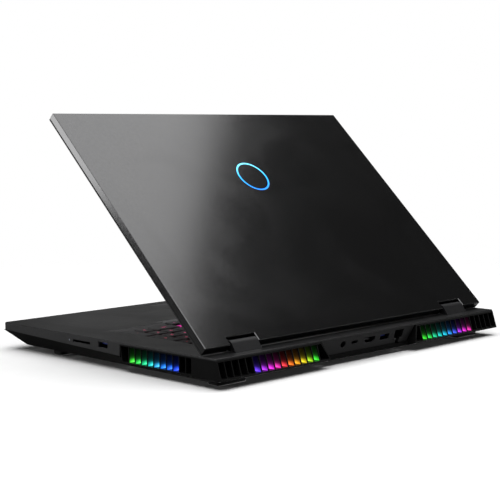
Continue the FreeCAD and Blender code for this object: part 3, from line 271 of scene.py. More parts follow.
# ------------ finishes
@dataclass(frozen=True)
class Finish:
    """A solid finish: its colour, gloss, grain, signs of use and painted edge highlights. Lengths
    are in millimetres.
    """

    name: str
    colour: Colour
    roughness: float
    metallic: float = 0.0
    grain_pitch: float = 0.35
    grain_depth: float = 0.01
    tone: float = 0.12
    smear: float = 0.08
    # how strongly edges lighten: real wear, and a painted edge highlight
    wear: float = 0.25
    dust: float = 0.03
    edge: float = 0.3
    coat: float = 0.0
    coat_roughness: float = 0.2
    specular: float = 0.5
    pattern: Pattern = Pattern.PLAIN

    def build(self, effects: Effects) -> Material:
        """Makes the material.

        Args:
            effects: the shared node groups.

        Returns:
            The new material.
        """
        material, sheet, shader = open_material(self.name)
        stretch = BRUSHED_STRETCH if self.pattern is Pattern.BRUSHED else 1.0
        grain = sheet.add("Group", {
            "Scale": 1.0 / (self.grain_pitch * MM), "Stretch": stretch}, node_tree=effects.grain)
        edges = sheet.add("Group", {"Radius": self.edge * MM}, node_tree=effects.edges)
        marks = sheet.add("Group", node_tree=effects.handling)
        tone, height = self.patterned(sheet, grain)
        dark = [c * (1.0 - self.tone) for c in self.colour]
        light = [min(1.0, c * (1.0 + self.tone)) for c in self.colour]
        # lighter edge colour: real wear, and a painted edge highlight where the mask is strong
        wear_and_highlight_colour = [min(1.0, c * 2.4 + 0.02) for c in self.colour]
        base = self.blend(sheet, tone, dark, light)
        base = self.blend(sheet, sheet.calc("MULTIPLY", edges.outputs["Wear"], self.wear),
                          base, wear_and_highlight_colour)
        base = self.blend(sheet, sheet.calc("MULTIPLY", marks.outputs["Dust"], self.dust),
                          base, DUST_COLOUR)
        rough = sheet.calc("ADD", self.roughness - 0.5 * self.smear,
                           sheet.calc("MULTIPLY", marks.outputs["Smear"], self.smear))
        rough = sheet.calc("ADD", rough, sheet.calc("MULTIPLY", tone, 0.04))
        bump = sheet.add("Bump", {
            "Height": height, "Normal": edges.outputs["Normal"], "Strength": 1.0,
            "Distance": self.grain_depth * MM})
        sheet.join(base, shader.inputs["Base Color"])
        sheet.join(rough, shader.inputs["Roughness"])
        sheet.join(bump.outputs[0], shader.inputs["Normal"])
        set_values(shader, {
            "Metallic": self.metallic, "Specular IOR Level": self.specular,
            "Coat Weight": self.coat, "Coat Roughness": self.coat_roughness})
        return material

    @staticmethod
    def blend(sheet: NodeSheet, mask: Socket, low: object, high: object) -> Socket:
        """Mixes two colours by a mask and returns the colour output."""
        mix = sheet.add("Mix", {0: mask}, data_type="RGBA")
        for index, value in ((6, low), (7, high)):
            if isinstance(value, Socket):
                sheet.join(value, mix.inputs[index])
            else:
                mix.inputs[index].default_value = (*value, 1.0)
        return mix.outputs[2]

    def patterned(self, sheet: NodeSheet, grain: Node) -> SocketPair:
        """Lays the finish's pattern over its grain.

        Args:
            sheet: the material's sheet.
            grain: the grain group's node.

        Returns:
            The tone mask and the height.
        """
        tone, height = grain.outputs["Tone"], grain.outputs["Height"]
        if self.pattern is Pattern.TRACES:
            lanes = sheet.add("TexVoronoi", {
                "Vector": sheet.point(), "Scale": 260.0},
                feature="DISTANCE_TO_EDGE").outputs[0]
            track = sheet.spread(lanes, (0.06, 0.10), (1.0, 0.0))
            return sheet.calc("MAXIMUM", track, sheet.calc("MULTIPLY", tone, 0.3)), track
        return tone, height


@dataclass(frozen=True)
class Glow:
    """A lit finish. The kinds differ in how their light and their gloss run."""

    name: str
    strength: float
    tint: Colour = (0.02, 0.02, 0.02)

    def build(self, effects: Effects) -> Material:
        """Makes the material from its light and its gloss."""
        material, sheet, shader = open_material(self.name)
        colour, rough = self.light(sheet, effects)
        sheet.join(colour, shader.inputs["Emission Color"])
        sheet.join(rough, shader.inputs["Roughness"])
        set_values(shader, {"Base Color": (*self.tint, 1.0), "Emission Strength": self.strength})
        return material

    def light(self, sheet: NodeSheet, effects: Effects) -> SocketPair:
        """Returns the colour of the light and the roughness."""
        raise NotImplementedError


@dataclass(frozen=True)
class GuideGlow(Glow):
    """A frosted light guide that shines with the colours written on its own points; on the vent
    walls these colours are painted light.
    """

    frost_pitch: float = 0.5

    def light(self, sheet: NodeSheet, effects: Effects) -> SocketPair:
        """Lays a faint frosting over the colour of the points."""
        colour = sheet.add("Attribute", attribute_name="glow").outputs["Color"]
        grain = sheet.add("Group", {"Scale": 1.0 / (self.frost_pitch * MM)},
                          node_tree=effects.grain)
        frost = sheet.spread(grain.outputs["Tone"], (0.0, 1.0), (0.82, 1.0))
        lit = sheet.add("VectorMath", {0: colour, "Scale": frost}, operation="SCALE")
        return lit.outputs[0], sheet.spread(grain.outputs["Height"], (0.0, 1.0), (0.25, 0.45))


@dataclass(frozen=True)
class SpectrumGlow(Glow):
    """Light that follows the keyboard's run of colours."""

    def light(self, sheet: NodeSheet, effects: Effects) -> SocketPair:
        """Makes the light brighter and darker in soft patches, one over each source."""
        colour = sheet.add("Group", node_tree=effects.spectrum).outputs["Colour"]
        patches = sheet.add("TexNoise", {
            "Vector": sheet.point(), "Scale": 90.0, "Detail": 1.0}).outputs[0]
        level = sheet.spread(patches, (0.3, 0.7), (0.55, 1.0))
        lit = sheet.add("VectorMath", {0: colour, "Scale": level}, operation="SCALE")
        return lit.outputs[0], sheet.spread(patches, (0.3, 0.7), (0.4, 0.6))


@dataclass(frozen=True)
class RingGlow(Glow):
    """The lid ring's light, which turns from pale cyan to deep blue from its top to its foot."""

    def light(self, sheet: NodeSheet, effects: Effects) -> SocketPair:
        """Runs the colour down the ring's height."""
        low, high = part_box("lid_ring")
        tall = sheet.add("SeparateXYZ", {0: sheet.point()}).outputs["Z"]
        colour = sheet.ramp(sheet.spread(tall, (low.z, high.z), (0.0, 1.0)), [
            (0.0, (0.0, 0.16, 0.85)), (0.5, (0.0, 0.38, 1.0)), (1.0, (0.16, 0.75, 1.0))])
        grain = sheet.add("Group", node_tree=effects.grain).outputs["Tone"]
        return colour, sheet.spread(grain, (0.0, 1.0), (0.3, 0.4))


SOLID_FINISHES = (
    Finish("deck_metal", (0.046, 0.046, 0.047), 0.34, 0.85, grain_pitch=0.22,
           grain_depth=0.004, smear=0.07, wear=0.35, edge=0.5),
    Finish("lid_metal", (0.087, 0.087, 0.088), 0.15, 0.95, grain_pitch=0.22,
           grain_depth=0.002, tone=0.08, smear=0.04, wear=0.30, edge=0.5),
    Finish("case_plastic", (0.005, 0.005, 0.005), 0.52, grain_pitch=0.45, grain_depth=0.03,
           tone=0.2, wear=0.2, specular=0.05),
    Finish("panel_plastic", (0.040, 0.040, 0.041), 0.45, grain_pitch=0.4, grain_depth=0.015,
           edge=0.25),
    # full edge strength here paints light rims on the vent edges: a painted highlight
    Finish("vent_plastic", (0.006, 0.006, 0.006), 0.34, grain_pitch=0.4, wear=1.0,
           specular=0.07, edge=0.4),
    Finish("bezel_plastic", (0.016, 0.016, 0.017), 0.55, grain_pitch=0.4, grain_depth=0.02),
    Finish("hinge_plastic", (0.010, 0.010, 0.011), 0.48, grain_pitch=0.4, grain_depth=0.012,
           specular=0.3, edge=0.4),
    Finish("port_metal", (0.075, 0.075, 0.078), 0.30, 1.0, grain_pitch=0.15, grain_depth=0.004,
           edge=0.12, pattern=Pattern.BRUSHED),
    Finish("port_plastic", (0.012, 0.012, 0.013), 0.42, grain_pitch=0.3, edge=0.15),
    Finish("steel", (0.46, 0.46, 0.47), 0.34, 1.0, grain_pitch=0.2, edge=0.2,
           pattern=Pattern.BRUSHED),
    Finish("black_steel", (0.020, 0.020, 0.021), 0.48, 0.6, grain_pitch=0.3, edge=0.15),
    Finish("touch_glass", (0.022, 0.022, 0.023), 0.42, grain_pitch=0.16, grain_depth=0.002,
           smear=0.16, coat=0.2),
    Finish("screen", (0.004, 0.004, 0.005), 0.36, grain_pitch=0.24, grain_depth=0.0005,
           wear=0.0, specular=0.45, edge=0.2),
    Finish("camera_black", (0.006, 0.006, 0.007), 0.15, coat=0.5, edge=0.15),
    Finish("rubber", (0.018, 0.018, 0.018), 0.78, grain_pitch=0.5, grain_depth=0.05,
           tone=0.3, dust=0.12, specular=0.3, edge=0.4),
    Finish("circuit_board", (0.010, 0.045, 0.022), 0.40, tone=0.7, coat=0.25, edge=0.15,
           pattern=Pattern.TRACES),
    Finish("chip", (0.020, 0.020, 0.022), 0.30, grain_pitch=0.3, edge=0.15),
    Finish("copper", (0.60, 0.26, 0.13), 0.33, 1.0, grain_pitch=0.25, tone=0.2,
           pattern=Pattern.BRUSHED),
    Finish("fin_aluminium", (0.30, 0.30, 0.31), 0.38, 1.0, grain_pitch=0.2, edge=0.0),
    Finish("fan_plastic", (0.016, 0.016, 0.017), 0.42, grain_pitch=0.4, edge=0.2),
    Finish("battery_wrap", (0.020, 0.020, 0.022), 0.36, grain_pitch=1.4, grain_depth=0.08,
           tone=0.2, coat=0.3),
    Finish("keycap", (0.030, 0.030, 0.032), 0.52, grain_pitch=0.3, grain_depth=0.012,
           smear=0.12, wear=0.15, edge=0.15),
    Finish("plug_blue", (0.010, 0.035, 0.30), 0.40, grain_pitch=0.3, edge=0.1),
    Finish("contact_gold", (0.78, 0.50, 0.14), 0.26, 1.0, grain_pitch=0.15, edge=0.05,
           pattern=Pattern.BRUSHED),
    Finish("lens_glass", (0.004, 0.005, 0.010), 0.06, coat=1.0, coat_roughness=0.03,
           smear=0.03, wear=0.0, edge=0.05),
)
GLOW_FINISHES = (
    # light_guide: the vent lenses are lamps, and the vent walls glow with painted light in place
    # of lit fins
    GuideGlow("light_guide", 1.6),
    SpectrumGlow("backlight", 0.8),
    SpectrumGlow("legend_light", 1.7, (0.25, 0.25, 0.25)),
    RingGlow("ring_light", 2.6, (0.01, 0.03, 0.05)),
    GuideGlow("lamp", 0.25),
)


class Wardrobe(dict):
    """Every finish as a material, by name."""

    def __init__(self) -> None:
        """Builds the shared groups and then every material."""
        super().__init__()
        effects = Effects.build()
        for finish in (*SOLID_FINISHES, *GLOW_FINISHES):
            self[finish.name] = finish.build(effects)

    def dress_frame(self) -> None:
        """Gives every node of the frame the finish that its own slot names."""
        for name, node in sorted(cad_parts.items()):
            own = node.data.materials[0].name.split(".")[0]
            slot = node.material_slots[0]
            slot.link = "OBJECT"
            slot.material = self[own]
            LOG.info("dressed %s in %s", name, own)


# ------------ meshes
class MeshDraft:
    """Collects lofted shells and makes one object of them."""

    def __init__(self) -> None:
        """Starts with no points and no faces."""
        self.points: list[Point] = []
        self.faces: list[tuple[int, ...]] = []
        self.glow: list[Colour] = []

    def loft(self, rings: Sequence[Sequence[Point]], closed: bool = True, caps: bool = True,
             glow: Sequence[Sequence[Colour]] | None = None) -> None:
        """Joins rings of equally many points with quads.

        Args:
            rings: the rings in order, each turning the same way.
            closed: whether a ring's last point joins its first.
            caps: whether the first and last rings are closed with a face.
            glow: a colour for each point, laid out as the rings are.
        """
        start, count = len(self.points), len(rings[0])
        for index, ring in enumerate(rings):
            self.points.extend(tuple(point) for point in ring)
            self.glow.extend(glow[index] if glow else [(0.0, 0.0, 0.0)] * count)
        steps = count if closed else count - 1
        for row in range(len(rings) - 1):
            low, high = start + row * count, start + (row + 1) * count
            for step in range(steps):
                after = (step + 1) % count
                self.faces.append((low + step, low + after, high + after, high + step))
        if caps:
            self.faces.append(tuple(range(start + count - 1, start - 1, -1)))
            last = start + (len(rings) - 1) * count
            self.faces.append(tuple(range(last, last + count)))

    def slab(self, low: Point, high: Point, corner: float, edge: float, slope: float = 0.0,
             dish: float = 0.0, both: bool = False) -> None:
        """Adds an upright slab with round corners and a rounded upper edge.

        Args:
            low: its lowest corner.
            high: its highest corner.
            corner: the radius of its corners, seen from above.
            edge: the radius of its upper edge.
            slope: how far its upper outline is drawn in.
            dish: how far the middle of its top sinks.
            both: whether its lower edge is rounded as well.
        """
        tall = high[2] - low[2]
        levels = [(0.0, edge), (edge * 0.3, edge * 0.3), (edge, 0.0)] if both else [(0.0, 0.0)]
        for angle in (0.0, 30.0, 60.0, 90.0):
            turn = math.radians(angle)
            levels.append((tall - edge + edge * math.sin(turn),
                           slope + edge - edge * math.cos(turn)))
        if dish:
            levels.append((tall - dish, slope + edge + DISH_RIM))
        self.loft([rounded_ring(low, high, low[2] + rise, inset, corner)
                   for rise, inset in levels])

    def build(self, name: str, material: Material, glowing: bool = False) -> bpy.types.Object:
        """Makes the object.

        Args:
            name: the piece's name.
            material: what it is made of.
            glowing: whether its points carry their own light colours.

        Returns:
            The new object, linked into the scene.
        """
        mesh = bpy.data.meshes.new(name)
        mesh.from_pydata(self.points, [], self.faces)
        mesh.validate()
        mesh.shade_smooth()
        mesh.set_sharp_from_angle(angle=SHARP_ANGLE)
        if glowing:
            layer = mesh.color_attributes.new("glow", "FLOAT_COLOR", "POINT")
            for index, colour in enumerate(self.glow):
                layer.data[index].color = (*colour, 1.0)
        mesh.materials.append(material)
        piece = bpy.data.objects.new(name, mesh)
        bpy.context.scene.collection.objects.link(piece)
        return piece

    def place(self, wardrobe: Wardrobe, name: str, finish: str, body: str = "base",
              slot: str = "", replaced: Sequence[str] = (), glowing: bool = False) -> None:
        """Makes the piece, puts it on its body and hides the frame's nodes that it stands for.

        Args:
            wardrobe: the materials.
            name: the piece's name.
            finish: the name of its finish.
            body: the body that it moves with.
            slot: the material slot that it belongs to, where that isn't the finish's own; not
                used.
            replaced: the frame's nodes that it stands for.
            glowing: whether its points carry their own light colours.
        """
        piece = self.build(name, wardrobe[finish], glowing)
        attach(piece, body)
        if replaced:
            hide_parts(*replaced)
        LOG.info("built %s on %s", name, body)


def rounded_ring(low: Point, high: Point, level: float, inset: float, corner: float,
                 steps: int = 5) -> list[Point]:
    """Returns a rectangle with round corners at one height.

    Args:
        low: the lowest corner of the box it fills.
        high: the highest corner of that box.
        level: the height it lies at.
        inset: how far it is drawn in from the box.
        corner: the radius of its corners before it is drawn in.
        steps: the points along each corner.
    """
    radius = max(corner - inset * 0.5, 0.05 * MM)
    ring = []
    left, right = low[0] + inset + radius, high[0] - inset - radius
    front, back = low[1] + inset + radius, high[1] - inset - radius
    corners = ((right, back, 0.0), (left, back, 90.0), (left, front, 180.0), (right, front, 270.0))
    for x, y, first in corners:
        for step in range(steps):
            turn = math.radians(first + 90.0 * step / (steps - 1))
            ring.append((x + radius * math.cos(turn), y + radius * math.sin(turn), level))
    return ring


def solids_of(node: str) -> list[Box]:
    """Returns the box of each separate solid of a node, from left to right and back to front."""
    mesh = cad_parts[node].data
    parent: dict[tuple, tuple] = {}

    def root(key: tuple) -> tuple:
        """Returns the mark that stands for a point's whole solid."""
        while parent[key] != key:
            key = parent[key]
        return key

    keys = [tuple(round(c * 1e6) for c in vertex.co) for vertex in mesh.vertices]
    for key in keys:
        parent.setdefault(key, key)
    for polygon in mesh.polygons:
        first = root(keys[polygon.vertices[0]])
        for index in polygon.vertices[1:]:
            parent[root(keys[index])] = first
    groups: dict[tuple, list[Vector]] = {}
    for key, vertex in zip(keys, mesh.vertices):
        groups.setdefault(root(key), []).append(vertex.co)
    boxes = [
        (Vector(min(p[axis] for p in points) for axis in range(3)),
         Vector(max(p[axis] for p in points) for axis in range(3)))
        for points in groups.values()]
    return sorted(boxes, key=lambda box: (-round(box[0].y, 4), box[0].x))


# ------------ lit vents, with painted light on their walls
@dataclass
class VentLights:
    """The light guides behind one corner vent: a bar with a lens in each slot, and walls painted
    with glowing light in place of the fins that the bar lights.
    """

    side: Side
    rear_colours: Sequence[Colour]
    side_colours: Sequence[Colour]
    pitch: float = 8.28 * MM
    fin: float = 1.1 * MM
    window_top: float = 23.0 * MM
    lean: float = 5.8 / 18.2
    bar_deep: float = 2.6 * MM
    rear_sill: float = 1.6 * MM
    side_sill: float = 1.2 * MM
    wall_gap: float = 0.05 * MM
    back_gap: float = 0.1 * MM
    rise: int = 7
    run: int = 5
    spans: int = 4
    lens_level: float = 1.7
    # painted light on the vent walls: pools of light at the foot, haze above them, and shade
    # towards the slot's face
    painted_pools: tuple[tuple[float, float], ...] = ((2.3, 0.15), (0.05, 0.4))
    painted_haze: tuple[float, float] = (0.004, 0.012)
    painted_face_shade: float = 0.25
    heat_share: float = 0.08
    brightest: float = 4.0
    lens_ends: tuple[float, float] = (0.12, 0.88)
    lens_profile: tuple[tuple[float, float], ...] = (
        (0.0, 0.0), (0.8, 0.0), (1.5, 0.35), (1.9, 0.9))

    @property
    def word(self) -> str:
        """The side's name, as the frame's nodes write it."""
        return self.side.name.lower()

    def build(self, wardrobe: Wardrobe) -> None:
        """Builds the lens bars and the walls with painted light, of both windows, as one piece."""
        low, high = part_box(f"vent_light_{self.word}")
        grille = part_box(f"vent_grille_{self.word}")
        case_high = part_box("top_cover")[1]
        sign = self.side.value
        inner, outer = sorted((abs(low.x), abs(high.x)))
        draft = MeshDraft()
        colours = list(reversed(self.rear_colours))
        faces = [case_high.y + self.lean * (case_high.z - level) - self.rear_sill
                 for level in (low.z, self.window_top)]
        for index, colour in enumerate(colours):
            near, far = self.slot(inner, index)
            self.cell(draft, (sign * near, sign * far), faces, high.y, low.z, colour, 0)
        self.bar(draft, (sign * inner, high.y - self.bar_deep, low.z),
                 (sign * (inner + len(colours) * self.pitch), high.y, low.z), colours, 0)
        face = sign * (max(abs(corner.x) for corner in grille) - self.side_sill)
        for index, colour in enumerate(self.side_colours):
            self.cell(draft, self.slot(low.y, index), (face, face), sign * outer, low.z,
                      colour, 1)
        self.bar(draft, (sign * (outer - self.bar_deep), low.y, low.z),
                 (sign * outer, low.y + len(self.side_colours) * self.pitch, low.z),
                 self.side_colours, 1)
        # the walls glow with painted light in place of lit fins; the lenses are lamps
        draft.place(wardrobe, f"vent_lenses_and_painted_walls_{self.word}", "light_guide",
                    replaced=[f"vent_light_{self.word}"], glowing=True)

    def slot(self, start: float, index: int) -> tuple[float, float]:
        """Returns where a slot begins and ends between its two fins."""
        return (start + index * self.pitch + self.fin / 2,
                start + (index + 1) * self.pitch - self.fin / 2)

    def level(self, up: float, back: float) -> float:
        """Returns the painted light at a point of a wall: a painted pool of light at its foot,
        painted haze above, and painted shade towards the slot's face.

        Args:
            up: its height in the window, from 0 to 1.
            back: its depth in the slot, from 0 at the face to 1 at the bar.
        """
        # painted light: a pool of light at the wall's foot, haze above it, darker towards the
        # slot's face
        painted_pool = sum(peak * math.exp(-((up / reach) ** 2)) for peak, reach in self.painted_pools)
        painted_haze = self.painted_haze[0] + self.painted_haze[1] * (1.0 - up)
        return (painted_haze + painted_pool) * (self.painted_face_shade + (1.0 - self.painted_face_shade) * back)

    def shade(self, colour: Colour, level: float) -> Colour:
        """Returns a colour at a light level, paler where it is strongest."""
        heat = max(0.0, level - 1.0) * self.heat_share
        return tuple(min(self.brightest, channel * level + heat) for channel in colour)

    def painted_light_wall(self, draft: MeshDraft, uprights: Sequence[tuple[float, Point, Point]],
             colour: Colour) -> None:
        """Adds one wall that glows with painted light, standing in for a fin lit by the bar.

        Args:
            draft: the mesh that it goes into.
            uprights: a depth from 0 to 1, a foot and a head for each.
            colour: the slot's colour.
        """
        steps = [step / self.rise for step in range(self.rise + 1)]
        draft.loft([[tuple(a + (b - a) * up for a, b in zip(foot, head)) for up in steps]
                    for _, foot, head in uprights], closed=False, caps=False,
                   glow=[[self.shade(colour, self.level(up, back)) for up in steps]
                         for back, _, _ in uprights])

    def cell(self, draft: MeshDraft, sides: tuple[float, float], faces: Sequence[float],
             back: float, foot: float, colour: Colour, axis: int) -> None:
        """Adds the walls with painted light of one slot: its two sides and its back.

        Args:
            draft: the mesh that they go into.
            sides: where the slot begins and ends along the window.
            faces: where its sides start, at the window's foot and at its head.
            back: where its sides end.
            foot: the height of the window's foot.
            colour: the slot's colour.
            axis: 0 where the window runs along X, 1 along Y.
        """
        def upright(depth: float, along: float, deep: Sequence[float]) -> tuple:
            """Returns one upright of a wall, from its foot to its head."""
            ends = zip(deep, (foot, self.window_top))
            return (depth, *((along, inward, z) if axis == 0 else (inward, along, z)
                             for inward, z in ends))

        near, far = sides
        gap = math.copysign(self.wall_gap, far - near)
        painted_light_walls = []
        for along in (near + gap, far - gap):
            painted_light_walls.append([
                upright(depth, along, [face + (back - face) * depth for face in faces])
                for depth in (step / self.run for step in range(self.run + 1))])
        rear = back - math.copysign(self.back_gap, faces[0] - back)
        painted_light_walls.append([upright(1.0, near + (far - near) * step / self.spans, (rear, rear))
                      for step in range(self.spans + 1)])
        for uprights in painted_light_walls:
            self.painted_light_wall(draft, uprights, colour)

    def bar(self, draft: MeshDraft, start: Point, end: Point, colours: Sequence[Colour],
            axis: int) -> None:
        """Adds the bar at the foot of a window, with a low lens in each slot.

        Args:
            draft: the mesh that it goes into.
            start: one lower corner of the bar.
            end: the lower corner diagonally opposite.
            colours: a colour for each slot, in order from start to end.
            axis: 0 where the bar runs along X, 1 along Y.
        """
        length = end[axis] - start[axis]
        for index, colour in enumerate(colours):
            first, last = list(start), list(end)
            for corner, share in zip((first, last), self.lens_ends):
                corner[axis] = start[axis] + length * (index + share) / len(colours)
            low = tuple(min(a, b) for a, b in zip(first, last))
            high = tuple(max(a, b) for a, b in zip(first, last))
            rings = [rounded_ring(low, high, low[2] + rise * MM, inset * MM, 1.2 * MM)
                     for rise, inset in self.lens_profile]
            hot = self.shade(colour, self.lens_level)
            draft.loft(rings, glow=[[hot] * len(ring) for ring in rings])


# ------------ keyboard
KEY_ROWS = {
    "keys_function_row": [
        "esc", *[f"F{n}" for n in range(1, 13)], "ins", "del", "home", "end", "pgup", "pgdn"],
    "keys_number_row": [*"`1234567890-=", "back"],
    "keys_upper_row": ["tab", *"QWERTYUIOP[]", "\\"],
    "keys_home_row": ["caps", *"ASDFGHJKL;'", "enter"],
    "keys_lower_row": ["shift", *"ZXCVBNM,./", "shift"],
    "keys_bottom_row": ["ctrl", "fn", "menu", "alt", "alt", "ctrl"],
    "space_bar": [""],
    "keys_arrows": [*"^<v>"],
    "keys_number_pad": ["num", *"/*-789+456123", "enter", *"0."],
}


@dataclass
class Keyboard:
    """Keycaps with lit legends, over patches of light that show between them."""

    corner: float = 1.5 * MM
    edge: float = 0.25 * MM
    slope: float = 0.75 * MM
    dish: float = 0.08 * MM
    legend_tall: float = 4.2 * MM
    word_tall: float = 2.6 * MM
    legend_lift: float = 0.015 * MM
    spill: float = 1.0 * MM
    patch_lift: float = 0.02 * MM
    patch_thick: float = 0.1 * MM

    def build(self, wardrobe: Wardrobe) -> None:
        """Builds every row, and the patches of light below them."""
        for node, legends in KEY_ROWS.items():
            boxes = solids_of(node)
            caps = MeshDraft()
            for low, high in boxes:
                caps.slab(low, high, self.corner, self.edge, self.slope, self.dish)
            caps.place(wardrobe, f"caps_{node}", "keycap", f"{node}_body", replaced=[node])
            if any(legends):
                self.engrave(node, boxes, legends, wardrobe)
        self.light_sheet(wardrobe)

    def engrave(self, node: str, boxes: Sequence[Box], legends: Sequence[str],
                wardrobe: Wardrobe) -> None:
        """Lays the lit legends on a row's keycaps.

        Args:
            node: the row's node.
            boxes: the box of each keycap.
            legends: the legend of each keycap.
            wardrobe: the materials.
        """
        draft = MeshDraft()
        for (low, high), legend in zip(boxes, legends):
            tall = self.legend_tall if len(legend) < 2 else self.word_tall
            start = len(draft.points)
            outline, faces = self.letters(legend, tall)
            middle = (low + high) / 2
            draft.points.extend((middle.x + x, middle.y + y, high.z + self.legend_lift)
                                for x, y in outline)
            draft.faces.extend(tuple(start + i for i in face) for face in faces)
        draft.place(wardrobe, f"legends_{node}", "legend_light", f"{node}_body", "keycap")

    @staticmethod
    def letters(legend: str, tall: float) -> tuple[list[tuple[float, float]], list[tuple]]:
        """Returns a legend's flat outline, centred, as points and faces."""
        curve = bpy.data.curves.new("legend", "FONT")
        curve.body = legend
        curve.size = tall
        curve.align_x = "CENTER"
        curve.align_y = "CENTER"
        curve.resolution_u = 2
        holder = bpy.data.objects.new("legend", curve)
        bpy.context.scene.collection.objects.link(holder)
        bpy.context.view_layer.update()
        mesh = bpy.data.meshes.new_from_object(holder)
        points = [(vertex.co.x, vertex.co.y) for vertex in mesh.vertices]
        faces = [tuple(polygon.vertices) for polygon in mesh.polygons]
        bpy.data.objects.remove(holder)
        bpy.data.curves.remove(curve)
        bpy.data.meshes.remove(mesh)
        return points, faces

    def light_sheet(self, wardrobe: Wardrobe) -> None:
        """Builds the patches of light that lie on the key plate, one below each keycap."""
        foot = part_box("keyboard_plate")[1].z + self.patch_lift
        draft = MeshDraft()
        for node in KEY_ROWS:
            for low, high in solids_of(node):
                draft.slab((low.x - self.spill, low.y - self.spill, foot),
                           (high.x + self.spill, high.y + self.spill, foot + self.patch_thick),
                           self.corner, 0.04 * MM)
        draft.place(wardrobe, "key_light_sheet", "backlight")


# ------------ ports and small parts
@dataclass
class Ports:
    """The contact tongues, the pins and the lamp that show in the ports and beside them."""

    tongue_half: float = 5.57 * MM
    tongue_thick: float = 0.96 * MM
    tongue_lift: float = 1.1 * MM
    root_gap: float = 1.2 * MM
    mouth_gap: float = 2.94 * MM
    contact_pitch: float = 2.3 * MM
    contact_half: float = 0.5 * MM
    contact_trim: float = 0.6 * MM
    contact_out: float = 0.12 * MM
    contact_in: float = 0.1 * MM
    pin_count: int = 8
    pin_pitch: float = 1.02 * MM
    pin_half: float = 0.22 * MM
    lamp_sides: int = 20
    lamp_colour: Colour = (0.75, 0.85, 1.0)
    mouths: ClassVar = {
        "rear": (1, 1, 2.0 * MM), "right": (0, 1, contact_trim), "left": (0, -1, contact_trim)}

    def build(self, wardrobe: Wardrobe) -> None:
        """Builds the tongues and contacts of every port, the pins and the lamp."""
        for word in self.mouths:
            self.tongue(f"usb_a_port_{word}", word, wardrobe)
        self.network_pins(wardrobe)
        self.status_light(wardrobe)

    def tongue(self, node: str, word: str, wardrobe: Wardrobe) -> None:
        """Builds one blue tongue with its four contacts.

        Args:
            node: the port's node.
            word: rear, right or left, where its mouth is.
            wardrobe: the materials.
        """
        low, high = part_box(node)
        middle = (low + high) / 2
        axis, outward, root_trim = self.mouths[word]
        mouth, root = (high, low) if outward > 0 else (low, high)
        near, far = sorted((mouth[axis] - outward * self.mouth_gap,
                            root[axis] + outward * self.root_gap))
        centre = middle.z + self.tongue_lift
        bottom, top = centre - self.tongue_thick, centre + self.tongue_thick

        def corner(deep: float, along: float, level: float) -> Point:
            """Returns a point from its depth, its place across the port and its height."""
            return ((deep, middle.y + along, level) if axis == 0
                    else (middle.x + along, deep, level))

        tongue, contacts = MeshDraft(), MeshDraft()
        tongue.slab(corner(near, -self.tongue_half, bottom), corner(far, self.tongue_half, top),
                    0.5 * MM, 0.2 * MM, both=True)
        for index in range(4):
            offset = (index - 1.5) * self.contact_pitch
            contacts.slab(
                corner(near + root_trim, offset - self.contact_half, bottom - self.contact_out),
                corner(far - self.contact_trim, offset + self.contact_half,
                       bottom + self.contact_in),
                0.1 * MM, 0.05 * MM)
        tongue.place(wardrobe, f"tongue_{node}", "plug_blue", slot="port_plastic")
        contacts.place(wardrobe, f"contacts_{node}", "contact_gold", slot="port_metal")

    def network_pins(self, wardrobe: Wardrobe) -> None:
        """Builds the eight spring wires of the network port."""
        low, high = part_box("ethernet_port")
        middle = (low + high) / 2
        draft = MeshDraft()
        for index in range(self.pin_count):
            x = middle.x + (index - (self.pin_count - 1) / 2) * self.pin_pitch
            draft.slab((x - self.pin_half, low.y + 1.2 * MM, high.z - 1.9 * MM),
                       (x + self.pin_half, high.y - 5.2 * MM, high.z - 1.3 * MM),
                       0.1 * MM, 0.1 * MM, both=True)
        draft.place(wardrobe, "network_pins", "contact_gold", slot="port_metal")

    def status_light(self, wardrobe: Wardrobe) -> None:
        """Builds the round status lamp's lens over the lamp's rod."""
        low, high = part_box("status_lamp")
        middle = (low + high) / 2
        radius = (high.z - low.z) / 2
        turns = [math.tau * step / self.lamp_sides for step in range(self.lamp_sides)]
        rings = [
            [(x, middle.y + radius * share * math.cos(turn),
              middle.z + radius * share * math.sin(turn)) for turn in turns]
            for x, share in ((low.x, 1.0), (high.x - 0.25 * MM, 1.0),
                             (high.x - 0.08 * MM, 0.8), (high.x, 0.35))]
        draft = MeshDraft()
        draft.loft(rings, glow=[[self.lamp_colour] * self.lamp_sides for _ in rings])
        draft.place(wardrobe, "status_lamp_lens", "lamp", replaced=["status_lamp"], glowing=True)


@dataclass
class RoundedParts:
    """Plain slabs of the frame that have soft edges and round corners in the real thing."""

    pad_corner: float = 2.2 * MM
    pad_edge: float = 0.25 * MM
    foot_corner: float = 2.6 * MM
    foot_profile: tuple[tuple[float, float], ...] = (
        (0.0, 0.9), (0.06, 0.45), (0.16, 0.15), (0.3, 0.0), (1.0, 0.0))

    def build(self, wardrobe: Wardrobe) -> None:
        """Builds the touchpad's surface and the four feet."""
        pad = MeshDraft()
        low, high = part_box("touchpad")
        pad.slab(low, high, self.pad_corner, self.pad_edge, both=True)
        pad.place(wardrobe, "touchpad_surface", "touch_glass", "touch", replaced=["touchpad"])
        feet = MeshDraft()
        for low, high in solids_of("rubber_feet"):
            tall = high.z - low.z
            feet.loft([rounded_ring(low, high, low.z + rise * tall, inset * MM, self.foot_corner)
                       for rise, inset in self.foot_profile])
        feet.place(wardrobe, "foot_pads", "rubber", replaced=["rubber_feet"])


